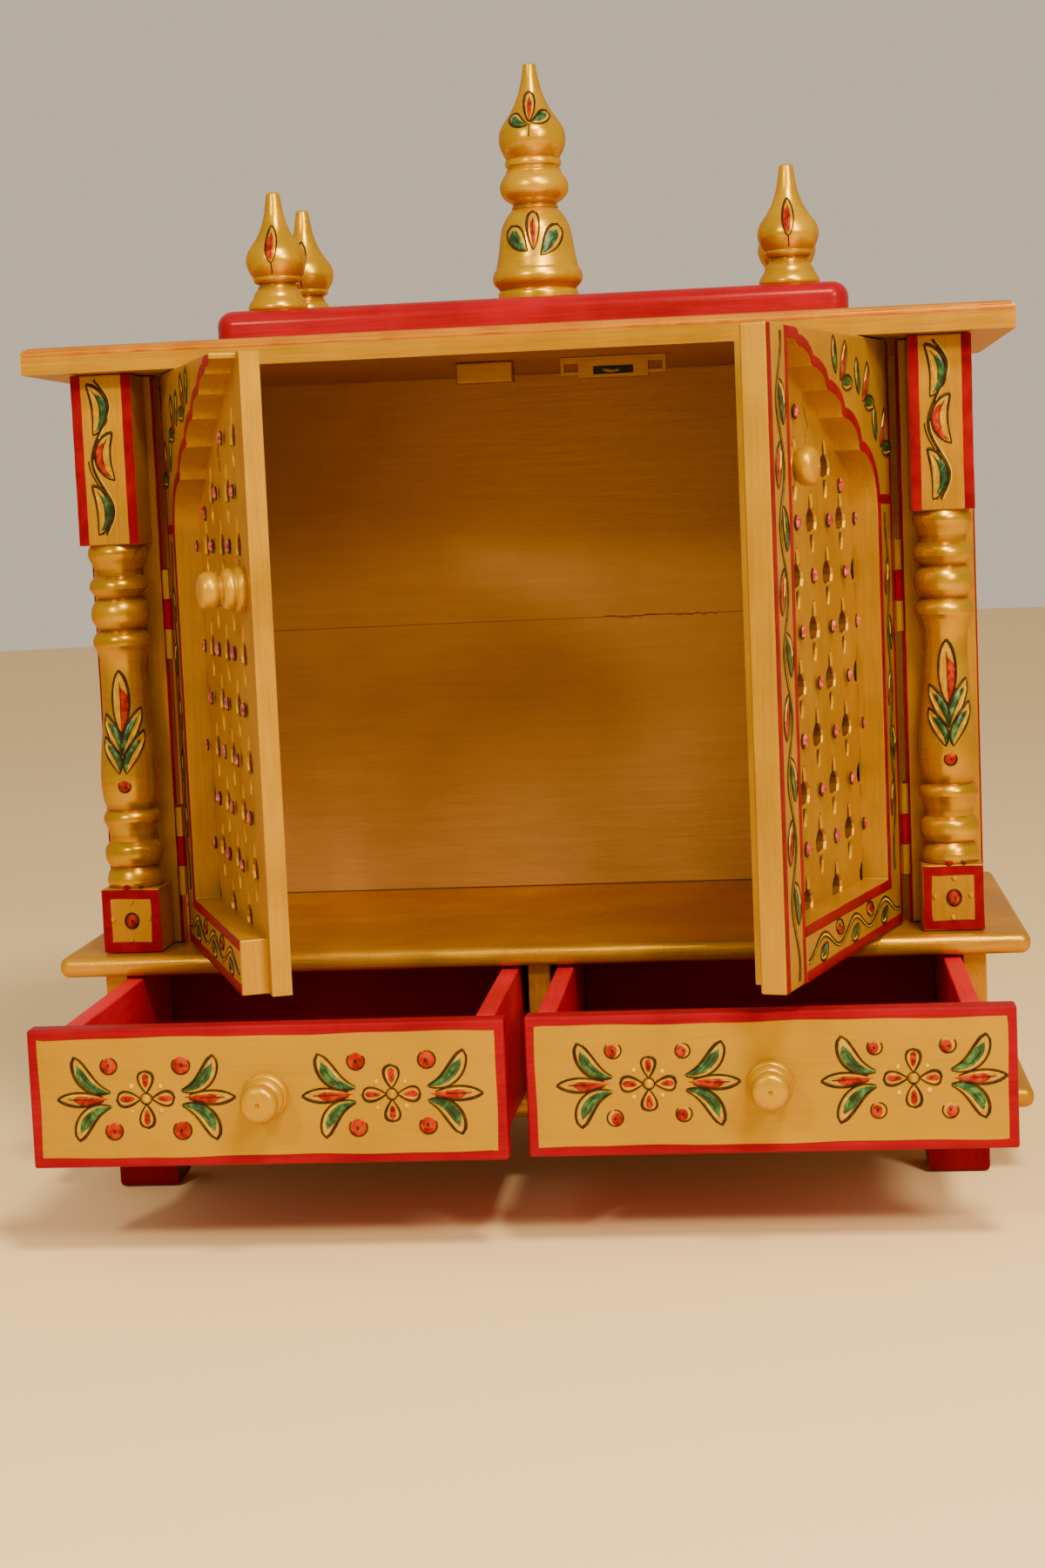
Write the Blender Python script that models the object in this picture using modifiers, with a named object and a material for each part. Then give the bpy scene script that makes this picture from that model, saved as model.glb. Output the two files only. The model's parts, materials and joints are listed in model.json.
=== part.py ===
"""A painted wooden household shrine: a small temple cabinet on four feet.

Two pierced doors swing on butt hinges between turned pillars, two drawers slide in the
case below, and a slab with five turned finials crowns the cornice. Metres, +Z up, with
X to the right and Y towards the back. The doors stand open and the drawers are drawn.
"""
import math

import bmesh
import bpy

# ---- driving dimensions -------------------------------------------------------------
GAP = 0.0003                # between pieces that touch
ARRIS = 0.0004              # how far a sawn edge is broken
TOUCH = 1e-6                # lengths under this count as none

CORNICE_WIDTH = 0.460
CORNICE_DEPTH = 0.212
CORNICE_FACE = 0.0098       # height of the flat edge
CROWN_RISE = 0.0030         # the top swells gently above that edge
CROWN_RUN = 0.0090

SHELF_WIDTH = 0.462
SHELF_FRONT = 0.004         # behind the cornice's front edge, which is Y = 0 in the closed frame
SHELF_THICK = 0.0099
NOSING_CORNER = 0.005
NOSING_ROUND = 0.46         # of the board's thickness

FOOT_SIZE = 0.0287
FOOT_HEIGHT = 0.0333
FOOT_INSET = 0.0195         # from the cornice's front edge
FOOT_SETBACK = 0.0003       # inside the case's sides
FOOT_REAR_INSET = 0.020     # from the case's back
FOOT_CHAMFER = 0.0025

BODY_WIDTH = 0.422          # over the case sides
PANEL_WIDTH = 0.4256        # over the side panels and the jambs
BODY_BACK = 0.207
CASE_HEIGHT = 0.0627
CASE_FRONT = 0.015
CASE_SIDE = 0.011
DIVIDER = 0.011
PANEL_THICK = 0.009
BACK_THICK = 0.006
UPPER_HEIGHT = 0.2768       # pillars, jambs and panels, between the shelf and the cornice

PILLAR_SIZE = 0.0278
PILLAR_FRONT = 0.0148
PILLAR_OUTER = 0.2103
PILLAR_BASE = 0.0312        # height of the lower square block
PILLAR_HEAD = 0.0804        # height of the upper square block
PILLAR_BITE = 0.001         # the turning runs this far into each block

JAMB_FRONT = 0.043
JAMB_INNER = 0.1775

PIVOT_X = 0.17605
PIVOT_Y = 0.0412
BARREL_RADIUS = 0.0020
HINGE_HEIGHT = 0.0435
HINGE_LEVELS = {"lower": 0.1408, "upper": 0.2570}
LEAF_THICK = 0.0009
LEAF_WIDTH = 0.0115
LEAF_SETBACK = 0.0026       # a leaf starts this far behind the pin
LEAF_OFFSET = 0.00025       # and this far to its own side of it
TAB_OVERLAP = 0.001         # of a knuckle's tab on its leaf

DOOR_EDGE = 0.00145         # from the pin to the door's hinged edge
DOOR_GAP = 0.0004           # over and under a door
FRAME_THICK = 0.0120
LATTICE_THICK = 0.0084
FRAME_END = 0.16135         # from the pin to the free edge of a door frame
LATTICE_END = {"left": 0.16885, "right": 0.16805}
STRIP_WIDTH = 0.0281
STILE_EDGE = 0.0257         # from the pin to the inner edge of the hinged stile
RAIL_HEIGHT = 0.0244
ARCH_SPRING = 0.2003        # above the door's foot
ARCH_RISE = 0.0730
ARCH_LOBES = 6
LOBE_STEPS = 4

HOLE_COLUMN = 0.0232
HOLE_ROW = 0.0476
FIRST_COLUMN = 0.0245
FIRST_ROW = 0.0272          # above the door's foot
SPEAR_REACH = 0.0145        # from a hole's middle up to the arch line, at least
HOLE_MARGIN = 0.020         # no column of holes comes nearer the free edge

KNOB_LEVEL = {"left": 0.293, "right": 0.335}
KNOB_REACH = 0.150          # from the pin

DRAWER_FRONT_THICK = 0.011
DRAWER_FRONT_INNER = 0.0042
DRAWER_FRONT_OUTER = 0.2133
DRAWER_FRONT_LOW = 0.0440
DRAWER_FRONT_HIGH = 0.1055
DRAWER_SIDE = 0.0085
DRAWER_OUTER = 0.1990
DRAWER_INNER = 0.0090
DRAWER_LENGTH = 0.175
DRAWER_FLOOR = 0.004
FLOOR_RISE = 0.0012         # of a drawer's floor over the foot of its sides
FRONT_ARRIS = 0.0006
DRAWER_CLEARANCE = 0.0006   # under the drawer box

DOOR_ANGLE = {"left": 69.5, "right": 72.5}
DRAWER_PULL = {"left": 0.1185, "right": 0.1145}

SLAB_WIDTH = 0.310
SLAB_DEPTH = 0.132
SLAB_FRONT = 0.072
SLAB_THICK = 0.0179
SLAB_ROUND = 0.009
SLAB_SHIFT = 0.003          # fitted a little to the right of the middle
FINIAL_SPREAD = 0.127
FINIAL_ROWS = {"front": 0.096, "rear": 0.179}

STOP_SIZE = (0.0276, 0.012, 0.010)
STOP_CENTRE_X = -0.0191
CATCH_FRONT = 0.0650
CATCH_CENTRE_X = 0.0437
CATCH_BODY = (0.0337, 0.012, 0.0100)
CATCH_EAR = (0.0088, 0.012, 0.0030)
CATCH_LIP = 0.0004          # the housing stands this far in front of its ears
MAGNET = (0.0189, 0.0012, 0.0034)
MAGNET_ARRIS = 0.0002

# ---- levels that follow from them ---------------------------------------------------
SIDES = {"left": -1, "right": 1}
BASE_LOW = FOOT_HEIGHT + GAP
BASE_HIGH = BASE_LOW + SHELF_THICK
CASE_LOW = BASE_HIGH + GAP
SHELF_LOW = CASE_LOW + CASE_HEIGHT + GAP
SHELF_HIGH = SHELF_LOW + SHELF_THICK
UPPER_LOW = SHELF_HIGH + GAP
UPPER_HIGH = UPPER_LOW + UPPER_HEIGHT
CORNICE_LOW = UPPER_HIGH + GAP
SLAB_LOW = CORNICE_LOW + CORNICE_FACE + CROWN_RISE + GAP
SLAB_HIGH = SLAB_LOW + SLAB_THICK
DOOR_LOW = UPPER_LOW + DOOR_GAP
DOOR_HIGH = UPPER_HIGH - DOOR_GAP
BODY_HALF = BODY_WIDTH / 2
PANEL_HALF = PANEL_WIDTH / 2
STRIP_END = FRAME_END + GAP + STRIP_WIDTH

# The front reach of the right door's free edge and the cornice's back set the middle in Y
SWING = math.radians(DOOR_ANGLE["right"])
FRONT_REACH = PIVOT_Y - STRIP_END * math.sin(SWING) + (PIVOT_Y - JAMB_FRONT) * -math.cos(SWING)
MIDDLE_Y = (FRONT_REACH + CORNICE_DEPTH) / 2


# ---- scene, materials and placing ---------------------------------------------------
def clear_scene():
    for obj in list(bpy.data.objects):
        bpy.data.objects.remove(obj, do_unlink=True)


def make_collection(name):
    group = bpy.data.collections.new(name)
    bpy.context.scene.collection.children.link(group)
    return group


def make_material(name, colour, roughness, metallic=0.0):
    material = bpy.data.materials.new(name)
    material.use_nodes = True
    shader = material.node_tree.nodes["Principled BSDF"]
    shader.inputs["Base Color"].default_value = (*colour, 1.0)
    shader.inputs["Roughness"].default_value = roughness
    shader.inputs["Metallic"].default_value = metallic
    return material


def make_empty(name, location, parent=None, turn=0.0):
    empty = bpy.data.objects.new(name, None)
    empty.empty_display_size = 0.03
    empty.location = location
    empty.rotation_euler = (0, 0, turn)
    empty.parent = parent
    shrine.objects.link(empty)
    return empty


def place(name, data, material, location, parent, rotation=(0, 0, 0)):
    """Put mesh or curve data in the shrine as one named sub-part."""
    obj = bpy.data.objects.new(name, data)
    data.materials.append(material)
    obj.location = location
    obj.rotation_euler = rotation
    obj.parent = parent
    shrine.objects.link(obj)
    return obj


def place_cutter(name, data, location, parent):
    obj = bpy.data.objects.new(name, data)
    obj.location = location
    obj.parent = parent
    obj.hide_render = True
    obj.display_type = "WIRE"
    cutters.objects.link(obj)
    return obj


def mesh_from(bm, name):
    mesh = bpy.data.meshes.new(name)
    bm.to_mesh(mesh)
    bm.free()
    return mesh


# ---- shapes -------------------------------------------------------------------------
def block(bm, low, high):
    """Add a box to a bmesh, from its lowest to its highest corner."""
    verts = bmesh.ops.create_cube(bm, size=1.0)["verts"]
    size = [high[i] - low[i] for i in range(3)]
    bmesh.ops.scale(bm, vec=size, verts=verts)
    bmesh.ops.translate(bm, vec=[(low[i] + high[i]) / 2 for i in range(3)], verts=verts)
    return verts


def edges_where(bm, test):
    """The edges whose two ends both pass a test."""
    return [edge for edge in bm.edges if all(test(vert.co) for vert in edge.verts)]


def board(name, low, high, material, parent, chamfer=ARRIS):
    """A plain sawn board with its arrises just broken."""
    size = [high[i] - low[i] for i in range(3)]
    centre = [(high[i] + low[i]) / 2 for i in range(3)]
    bm = bmesh.new()
    block(bm, [-s / 2 for s in size], [s / 2 for s in size])
    obj = place(name, mesh_from(bm, name), material, centre, parent)
    bevel = obj.modifiers.new("broken_arris", "BEVEL")
    bevel.width = chamfer
    bevel.segments = 1
    return obj


def nosed_board(name, low_z, high_z, parent):
    """A full-depth board with a half-round nosing on its front and both ends."""
    half = SHELF_WIDTH / 2
    depth = BODY_BACK - SHELF_FRONT
    thick = high_z - low_z
    bm = bmesh.new()
    block(bm, (-half, 0, 0), (half, depth, thick))

    def at_end(co):
        return abs(abs(co.x) - half) < TOUCH

    def at_front(co):
        return co.y < TOUCH

    corners = edges_where(bm, lambda co: at_end(co) and at_front(co))
    bmesh.ops.bevel(bm, geom=corners, offset=NOSING_CORNER, segments=3, affect="EDGES", profile=0.5)
    rim = []
    for level in (0.0, thick):
        for edge in edges_where(bm, lambda co: abs(co.z - level) < TOUCH):
            is_back = all(vert.co.y > depth - TOUCH for vert in edge.verts)
            if not is_back and edge.calc_length() > TOUCH and len(edge.link_faces) == 2:
                rim.append(edge)
    bmesh.ops.bevel(bm, geom=rim, offset=thick * NOSING_ROUND, segments=3, affect="EDGES", profile=0.5)
    return place(name, mesh_from(bm, name), gold, (0, SHELF_FRONT, low_z), parent)


def outline_board(name, outlines, thick, material, location, parent):
    """A flat board cut to outlines in X and Z; the first is the edge, the others are holes."""
    curve = bpy.data.curves.new(name, "CURVE")
    curve.dimensions = "2D"
    curve.fill_mode = "BOTH"
    curve.extrude = thick / 2
    for outline in outlines:
        spline = curve.splines.new("POLY")
        spline.points.add(len(outline) - 1)
        for point, (x, z) in zip(spline.points, outline):
            point.co = (x, z, 0, 1)
        spline.use_cyclic_u = True
    return place(name, curve, material, location, parent, rotation=(math.pi / 2, 0, 0))


def turned_profile(sections, steps=3):
    """Radius and height points of a turned piece, from its top down to its foot.

    A section is (top, top radius, foot, foot radius, swell): a line between two turned
    lines, swollen outwards by the last value, or hollowed where that is negative.
    """
    points = [(0.0, sections[0][0])]
    for top, top_radius, foot, foot_radius, swell in sections:
        count = steps if swell else 1
        if points[-1] != (top_radius, top):
            points.append((top_radius, top))
        for step in range(1, count + 1):
            t = step / count
            radius = top_radius + (foot_radius - top_radius) * t + swell * math.sin(math.pi * t)
            points.append((radius, top + (foot - top) * t))
    points.append((0.0, sections[-1][2]))
    return points


def turned(name, profile, location, parent, sides, rotation=(0, 0, 0)):
    """A piece turned on the lathe about its own Z axis."""
    mesh = bpy.data.meshes.new(name)
    edges = [(i, i + 1) for i in range(len(profile) - 1)]
    mesh.from_pydata([(radius, 0, z) for radius, z in profile], edges, [])
    obj = place(name, mesh, gold, location, parent, rotation)
    screw = obj.modifiers.new("lathe", "SCREW")
    screw.steps = sides
    screw.render_steps = sides
    screw.use_merge_vertices = True
    screw.merge_threshold = 0.00005
    return obj


def boolean(obj, operation, cutter):
    modifier = obj.modifiers.new(operation.lower(), "BOOLEAN")
    modifier.operation = operation
    modifier.solver = "EXACT"
    modifier.object = cutter


# ---- feet, boards and case ----------------------------------------------------------
def build_foot(row, side, y, parent):
    sign = SIDES[side]
    outer = sign * (BODY_HALF - FOOT_SETBACK)
    inner = outer - sign * FOOT_SIZE
    centre_x = (outer + inner) / 2
    half = FOOT_SIZE / 2
    bm = bmesh.new()
    block(bm, (-half, 0, 0), (half, FOOT_SIZE, FOOT_HEIGHT))
    sole = edges_where(bm, lambda co: co.z < TOUCH)
    bmesh.ops.bevel(bm, geom=sole, offset=FOOT_CHAMFER, segments=2, affect="EDGES", profile=0.5)
    name = f"foot_{row}_{side}"
    place(name, mesh_from(bm, name), red, (centre_x, y, 0), parent)


def build_base(parent):
    rows = {"front": FOOT_INSET, "rear": BODY_BACK - FOOT_REAR_INSET - FOOT_SIZE}
    for row, y in rows.items():
        for side in SIDES:
            build_foot(row, side, y, parent)
    nosed_board("base_board", BASE_LOW, BASE_HIGH, parent)
    case_high = CASE_LOW + CASE_HEIGHT
    case_rear = BODY_BACK - BACK_THICK - GAP
    for side, sign in SIDES.items():
        ends = sorted((sign * BODY_HALF, sign * (BODY_HALF - CASE_SIDE)))
        board(f"case_side_{side}", (ends[0], CASE_FRONT, CASE_LOW), (ends[1], case_rear, case_high),
              gold, parent)
    board("case_divider", (-DIVIDER / 2, CASE_FRONT, CASE_LOW), (DIVIDER / 2, case_rear, case_high),
          gold, parent)
    board("case_back", (-BODY_HALF, BODY_BACK - BACK_THICK, CASE_LOW), (BODY_HALF, BODY_BACK, case_high),
          gold, parent)
    nosed_board("shelf_board", SHELF_LOW, SHELF_HIGH, parent)


# ---- cabinet ------------------------------------------------------------------------
def build_cabinet(parent):
    panel_front = JAMB_FRONT + PANEL_THICK + GAP
    for side, sign in SIDES.items():
        panel = sorted((sign * PANEL_HALF, sign * (PANEL_HALF - PANEL_THICK)))
        panel_rear = BODY_BACK - BACK_THICK - GAP
        board(f"side_panel_{side}", (panel[0], panel_front, UPPER_LOW),
              (panel[1], panel_rear, UPPER_HIGH), gold, parent)
        jamb = sorted((sign * PANEL_HALF, sign * JAMB_INNER))
        board(f"jamb_{side}", (jamb[0], JAMB_FRONT, UPPER_LOW),
              (jamb[1], JAMB_FRONT + PANEL_THICK, UPPER_HIGH), gold, parent)
    board("back_panel", (-PANEL_HALF, BODY_BACK - BACK_THICK, UPPER_LOW),
          (PANEL_HALF, BODY_BACK, UPPER_HIGH), gold, parent)


def build_pillar(side, parent):
    """A square post turned between its two blocks."""
    foot = UPPER_LOW + PILLAR_BASE
    head = UPPER_HIGH - PILLAR_HEAD
    sections = [
        (head + PILLAR_BITE, 0.0118, head - 0.0010, 0.0118, 0.0),
        (head - 0.0010, 0.0118, head - 0.0100, 0.0112, 0.0014),
        (head - 0.0100, 0.0112, head - 0.0165, 0.0108, 0.0),
        (head - 0.0165, 0.0136, head - 0.0215, 0.0138, 0.0006),
        (head - 0.0215, 0.0110, head - 0.0270, 0.0113, 0.0),
        (head - 0.0270, 0.0113, head - 0.0410, 0.0113, 0.0021),
        (head - 0.0420, 0.0128, head - 0.0480, 0.0128, 0.0),
        (head - 0.0500, 0.0106, head - 0.0660, 0.0103, 0.0),
        (head - 0.0660, 0.0103, head - 0.1120, 0.0140, 0.0006),
        (head - 0.1120, 0.0140, head - 0.1285, 0.0122, 0.0007),
        (head - 0.1285, 0.0118, head - 0.1370, 0.0118, 0.0020),
        (head - 0.1370, 0.0118, head - 0.1430, 0.0116, 0.0),
        (head - 0.1445, 0.0136, head - 0.1500, 0.0136, 0.0005),
        (head - 0.1515, 0.0124, head - 0.1560, 0.0122, 0.0),
        (head - 0.1560, 0.0130, foot - PILLAR_BITE, 0.0132, 0.0010),
    ]
    centre_x = SIDES[side] * (PILLAR_OUTER - PILLAR_SIZE / 2)
    centre = (centre_x, PILLAR_FRONT + PILLAR_SIZE / 2, 0)
    pillar = turned(f"pillar_{side}", turned_profile(sections, steps=2), centre, parent, sides=14)
    bm = bmesh.new()
    half = PILLAR_SIZE / 2
    block(bm, (-half, -half, UPPER_LOW), (half, half, foot))
    block(bm, (-half, -half, head), (half, half, UPPER_HIGH))
    blocks = place_cutter(f"pillar_blocks_{side}", mesh_from(bm, "pillar_blocks"), centre, parent)
    boolean(pillar, "UNION", blocks)


def build_cornice(parent):
    half = CORNICE_WIDTH / 2
    bm = bmesh.new()
    block(bm, (-half, 0, 0), (half, CORNICE_DEPTH, CORNICE_FACE))
    top = next(face for face in bm.faces if face.normal.z > 0.9)
    swells = 3
    for step in range(swells):
        angles = [math.pi / 2 * (step + i) / swells for i in (0, 1)]
        run = CROWN_RUN * (math.cos(angles[0]) - math.cos(angles[1]))
        rise = CROWN_RISE * (math.sin(angles[1]) - math.sin(angles[0]))
        bmesh.ops.inset_region(bm, faces=[top], thickness=run)
        bmesh.ops.translate(bm, vec=(0, 0, rise), verts=top.verts)
    place("cornice_board", mesh_from(bm, "cornice_board"), gold, (0, 0, CORNICE_LOW), parent)


def build_stop_and_catch(parent):
    """The stop block and the magnetic catch that hang under the cornice, behind the doors."""
    width, depth, height = STOP_SIZE
    top = UPPER_HIGH
    board("stop_block", (STOP_CENTRE_X - width / 2, CATCH_FRONT, top - height),
          (STOP_CENTRE_X + width / 2, CATCH_FRONT + depth, top), gold, parent)
    width, depth, height = CATCH_BODY
    ear_width, ear_depth, ear_thick = CATCH_EAR
    bm = bmesh.new()
    block(bm, (-width / 2 - ear_width, 0, -ear_thick), (width / 2 + ear_width, ear_depth, 0))
    housing = place("catch_housing", mesh_from(bm, "catch_housing"), gold,
                    (CATCH_CENTRE_X, CATCH_FRONT, top), parent)
    bm = bmesh.new()
    block(bm, (-width / 2, -CATCH_LIP, -height), (width / 2, depth, -ear_thick / 2))
    body = place_cutter("catch_body", mesh_from(bm, "catch_body"), housing.location, parent)
    boolean(housing, "UNION", body)
    slot_width, slot_depth, slot_height = MAGNET
    slot_z = -(height + ear_thick) / 2
    bm = bmesh.new()
    block(bm, (-slot_width / 2 - GAP, -2 * CATCH_LIP, slot_z - slot_height / 2 - GAP),
          (slot_width / 2 + GAP, slot_depth + GAP, slot_z + slot_height / 2 + GAP))
    slot = place_cutter("magnet_slot", mesh_from(bm, "magnet_slot"), housing.location, parent)
    boolean(housing, "DIFFERENCE", slot)
    board("catch_magnet", (CATCH_CENTRE_X - slot_width / 2, CATCH_FRONT, top + slot_z - slot_height / 2),
          (CATCH_CENTRE_X + slot_width / 2, CATCH_FRONT + slot_depth, top + slot_z + slot_height / 2),
          steel, parent, chamfer=MAGNET_ARRIS)


# ---- top slab and finials -----------------------------------------------------------
def build_slab(parent):
    half = SLAB_WIDTH / 2
    bm = bmesh.new()
    block(bm, (-half, 0, 0), (half, SLAB_DEPTH, SLAB_THICK))

    def is_rounded(edge):
        high = all(vert.co.z > SLAB_THICK - TOUCH for vert in edge.verts)
        back = all(vert.co.y > SLAB_DEPTH - TOUCH for vert in edge.verts)
        return high and not back

    rim = [edge for edge in bm.edges if is_rounded(edge)]
    bmesh.ops.bevel(bm, geom=rim, offset=SLAB_ROUND, segments=4, affect="EDGES", profile=0.5)
    place("top_slab", mesh_from(bm, "top_slab"), red, (SLAB_SHIFT, SLAB_FRONT, SLAB_LOW), parent)


def build_finials(parent):
    small = [
        (0.0583, 0.0024, 0.0500, 0.0041, 0.0),
        (0.0500, 0.0041, 0.0240, 0.0150, -0.0016),
        (0.0240, 0.0150, 0.0158, 0.0122, 0.0008),
        (0.0158, 0.0122, 0.0122, 0.0098, 0.0),
        (0.0122, 0.0098, 0.0000, 0.0150, 0.0016),
    ]
    tall = [
        (0.1203, 0.0026, 0.1080, 0.0046, 0.0),
        (0.1080, 0.0046, 0.0840, 0.0168, -0.0012),
        (0.0840, 0.0168, 0.0735, 0.0130, 0.0014),
        (0.0735, 0.0130, 0.0705, 0.0130, 0.0),
        (0.0705, 0.0134, 0.0510, 0.0118, 0.0048),
        (0.0510, 0.0113, 0.0480, 0.0113, 0.0),
        (0.0480, 0.0113, 0.0180, 0.0216, 0.0014),
        (0.0180, 0.0216, 0.0075, 0.0196, 0.0020),
        (0.0075, 0.0196, 0.0000, 0.0202, 0.0004),
    ]
    level = SLAB_HIGH + GAP
    for row, y in FINIAL_ROWS.items():
        for side, sign in SIDES.items():
            turned(f"finial_{row}_{side}", turned_profile(small),
                   (SLAB_SHIFT + sign * FINIAL_SPREAD, y, level), parent, sides=12)
    middle = sum(FINIAL_ROWS.values()) / 2
    turned("finial_centre", turned_profile(tall), (SLAB_SHIFT, middle, level), parent, sides=16)


# ---- doors --------------------------------------------------------------------------
def arch_points():
    """The cusped half-arch from the spring line to the free edge, from the pin and the door's foot."""
    cusps = []
    for lobe in range(ARCH_LOBES + 1):
        t = 1 - (1 - lobe / ARCH_LOBES) ** 1.25
        cusps.append((STILE_EDGE + (FRAME_END - STILE_EDGE) * t, ARCH_SPRING + ARCH_RISE * t ** 0.69))
    points = [cusps[0]]
    for (u0, z0), (u1, z1) in zip(cusps, cusps[1:]):
        for step in range(1, LOBE_STEPS + 1):
            angle = math.pi / 2 * step / LOBE_STEPS
            points.append((u1 - (u1 - u0) * math.cos(angle), z0 + (z1 - z0) * math.sin(angle)))
    return points


def arch_height(u):
    """Height of the arch's cusps over the door's foot."""
    t = max(0.0, (u - STILE_EDGE) / (FRAME_END - STILE_EDGE))
    return ARCH_SPRING + ARCH_RISE * min(t, 1.0) ** 0.69


def frame_outline(height):
    arch = arch_points()
    foot = [(DOOR_EDGE, 0), (FRAME_END, 0), (FRAME_END, RAIL_HEIGHT), (STILE_EDGE, RAIL_HEIGHT)]
    return foot + arch + [(FRAME_END, height), (DOOR_EDGE, height)]


def lamp_hole(u, z):
    """A pierced lamp: a broad cup with a spear above it, and a drop of its own below."""
    half_cup = [(0.0026, 0.0042), (0.0084, 0.0030), (0.0070, -0.0030)]
    cup = [(0.0, 0.0136)] + half_cup + [(0.0, -0.0050)] + [(-x, y) for x, y in reversed(half_cup)]
    drop = [(0.0, -0.0064), (0.0030, -0.0094), (0.0, -0.0138), (-0.0030, -0.0094)]
    shapes = (cup, drop) if z + drop[2][1] > RAIL_HEIGHT else (cup,)
    return [[(u + x, z + y) for x, y in shape] for shape in shapes]


def lattice_outlines(end, height):
    outlines = [[(DOOR_EDGE, 0), (end, 0), (end, height), (DOOR_EDGE, height)]]
    column = 0
    while FIRST_COLUMN + column * HOLE_COLUMN < end - HOLE_MARGIN:
        u = FIRST_COLUMN + column * HOLE_COLUMN
        z = FIRST_ROW + (column % 2) * HOLE_ROW / 2
        while z + SPEAR_REACH < arch_height(u):
            outlines += lamp_hole(u, z)
            z += HOLE_ROW
        column += 1
    return outlines


def knob_profile():
    sections = [
        (0.0215, 0.0050, 0.0185, 0.0074, 0.0008),
        (0.0185, 0.0074, 0.0120, 0.0068, 0.0008),
        (0.0120, 0.0052, 0.0085, 0.0050, 0.0),
        (0.0085, 0.0088, 0.0042, 0.0088, 0.0),
        (0.0036, 0.0100, 0.0000, 0.0096, 0.0),
    ]
    return turned_profile(sections, steps=2)


def hinge_leaf(name, leaf_side, knuckles, parent, origin):
    """One leaf of a butt hinge: its knuckles on the pin, and the plate behind them."""
    gap = GAP / 2
    bm = bmesh.new()
    third = HINGE_HEIGHT / 3
    for index in knuckles:
        verts = bmesh.ops.create_cone(bm, cap_ends=True, segments=10, radius1=BARREL_RADIUS,
                                      radius2=BARREL_RADIUS, depth=third - 2 * gap)["verts"]
        bmesh.ops.translate(bm, vec=(0, 0, (index + 0.5) * third), verts=verts)
    name_barrel = name + "_barrel"
    barrel = place_cutter(name_barrel, mesh_from(bm, name_barrel), origin, parent)
    ends = sorted((leaf_side * LEAF_OFFSET, leaf_side * (LEAF_OFFSET + LEAF_THICK)))
    bm = bmesh.new()
    block(bm, (ends[0], LEAF_SETBACK, 0), (ends[1], LEAF_SETBACK + LEAF_WIDTH, HINGE_HEIGHT))
    leaf = place(name, mesh_from(bm, name), hinge_paint, origin, parent)
    bm = bmesh.new()
    for index in knuckles:
        block(bm, (ends[0], 0, index * third + gap * 2),
              (ends[1], LEAF_SETBACK + TAB_OVERLAP, (index + 1) * third - gap * 2))
    name_tabs = name + "_tabs"
    tabs = place_cutter(name_tabs, mesh_from(bm, name_tabs), origin, parent)
    boolean(leaf, "UNION", tabs)
    boolean(leaf, "UNION", barrel)


def build_door(side, parent):
    """A door in two layers, built shut about its pin, which then swings it open."""
    sign = SIDES[side]
    height = DOOR_HIGH - DOOR_LOW
    turn = sign * math.radians(DOOR_ANGLE[side])
    pin = make_empty(f"{side}_door_pin", (sign * PIVOT_X, PIVOT_Y, 0), parent, turn)
    front = JAMB_FRONT - PIVOT_Y

    def across(outline):
        return [(-sign * u, z) for u, z in outline]

    frame = across(frame_outline(height))
    outline_board(f"door_frame_{side}", [frame], FRAME_THICK, gold,
                  (0, front + FRAME_THICK / 2, DOOR_LOW), pin)
    lattice_front = front + FRAME_THICK + GAP
    lattice = [across(outline) for outline in lattice_outlines(LATTICE_END[side], height)]
    outline_board(f"lattice_{side}", lattice, LATTICE_THICK, gold,
                  (0, lattice_front + LATTICE_THICK / 2, DOOR_LOW), pin)
    turned(f"door_knob_{side}", knob_profile(), (-sign * KNOB_REACH, lattice_front - GAP, KNOB_LEVEL[side]),
           pin, sides=10, rotation=(math.pi / 2, 0, 0))
    if side == "right":
        ends = sorted((-sign * (FRAME_END + GAP), -sign * STRIP_END))
        board("meeting_strip", (ends[0], front, DOOR_LOW), (ends[1], front + FRAME_THICK, DOOR_HIGH),
              gold, pin)
    for row, level in HINGE_LEVELS.items():
        hinge_leaf(f"hinge_door_leaf_{side}_{row}", -sign, (0, 2), pin, (0, 0, level))
        hinge_leaf(f"hinge_jamb_leaf_{side}_{row}", sign, (1,), parent, (sign * PIVOT_X, PIVOT_Y, level))


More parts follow.
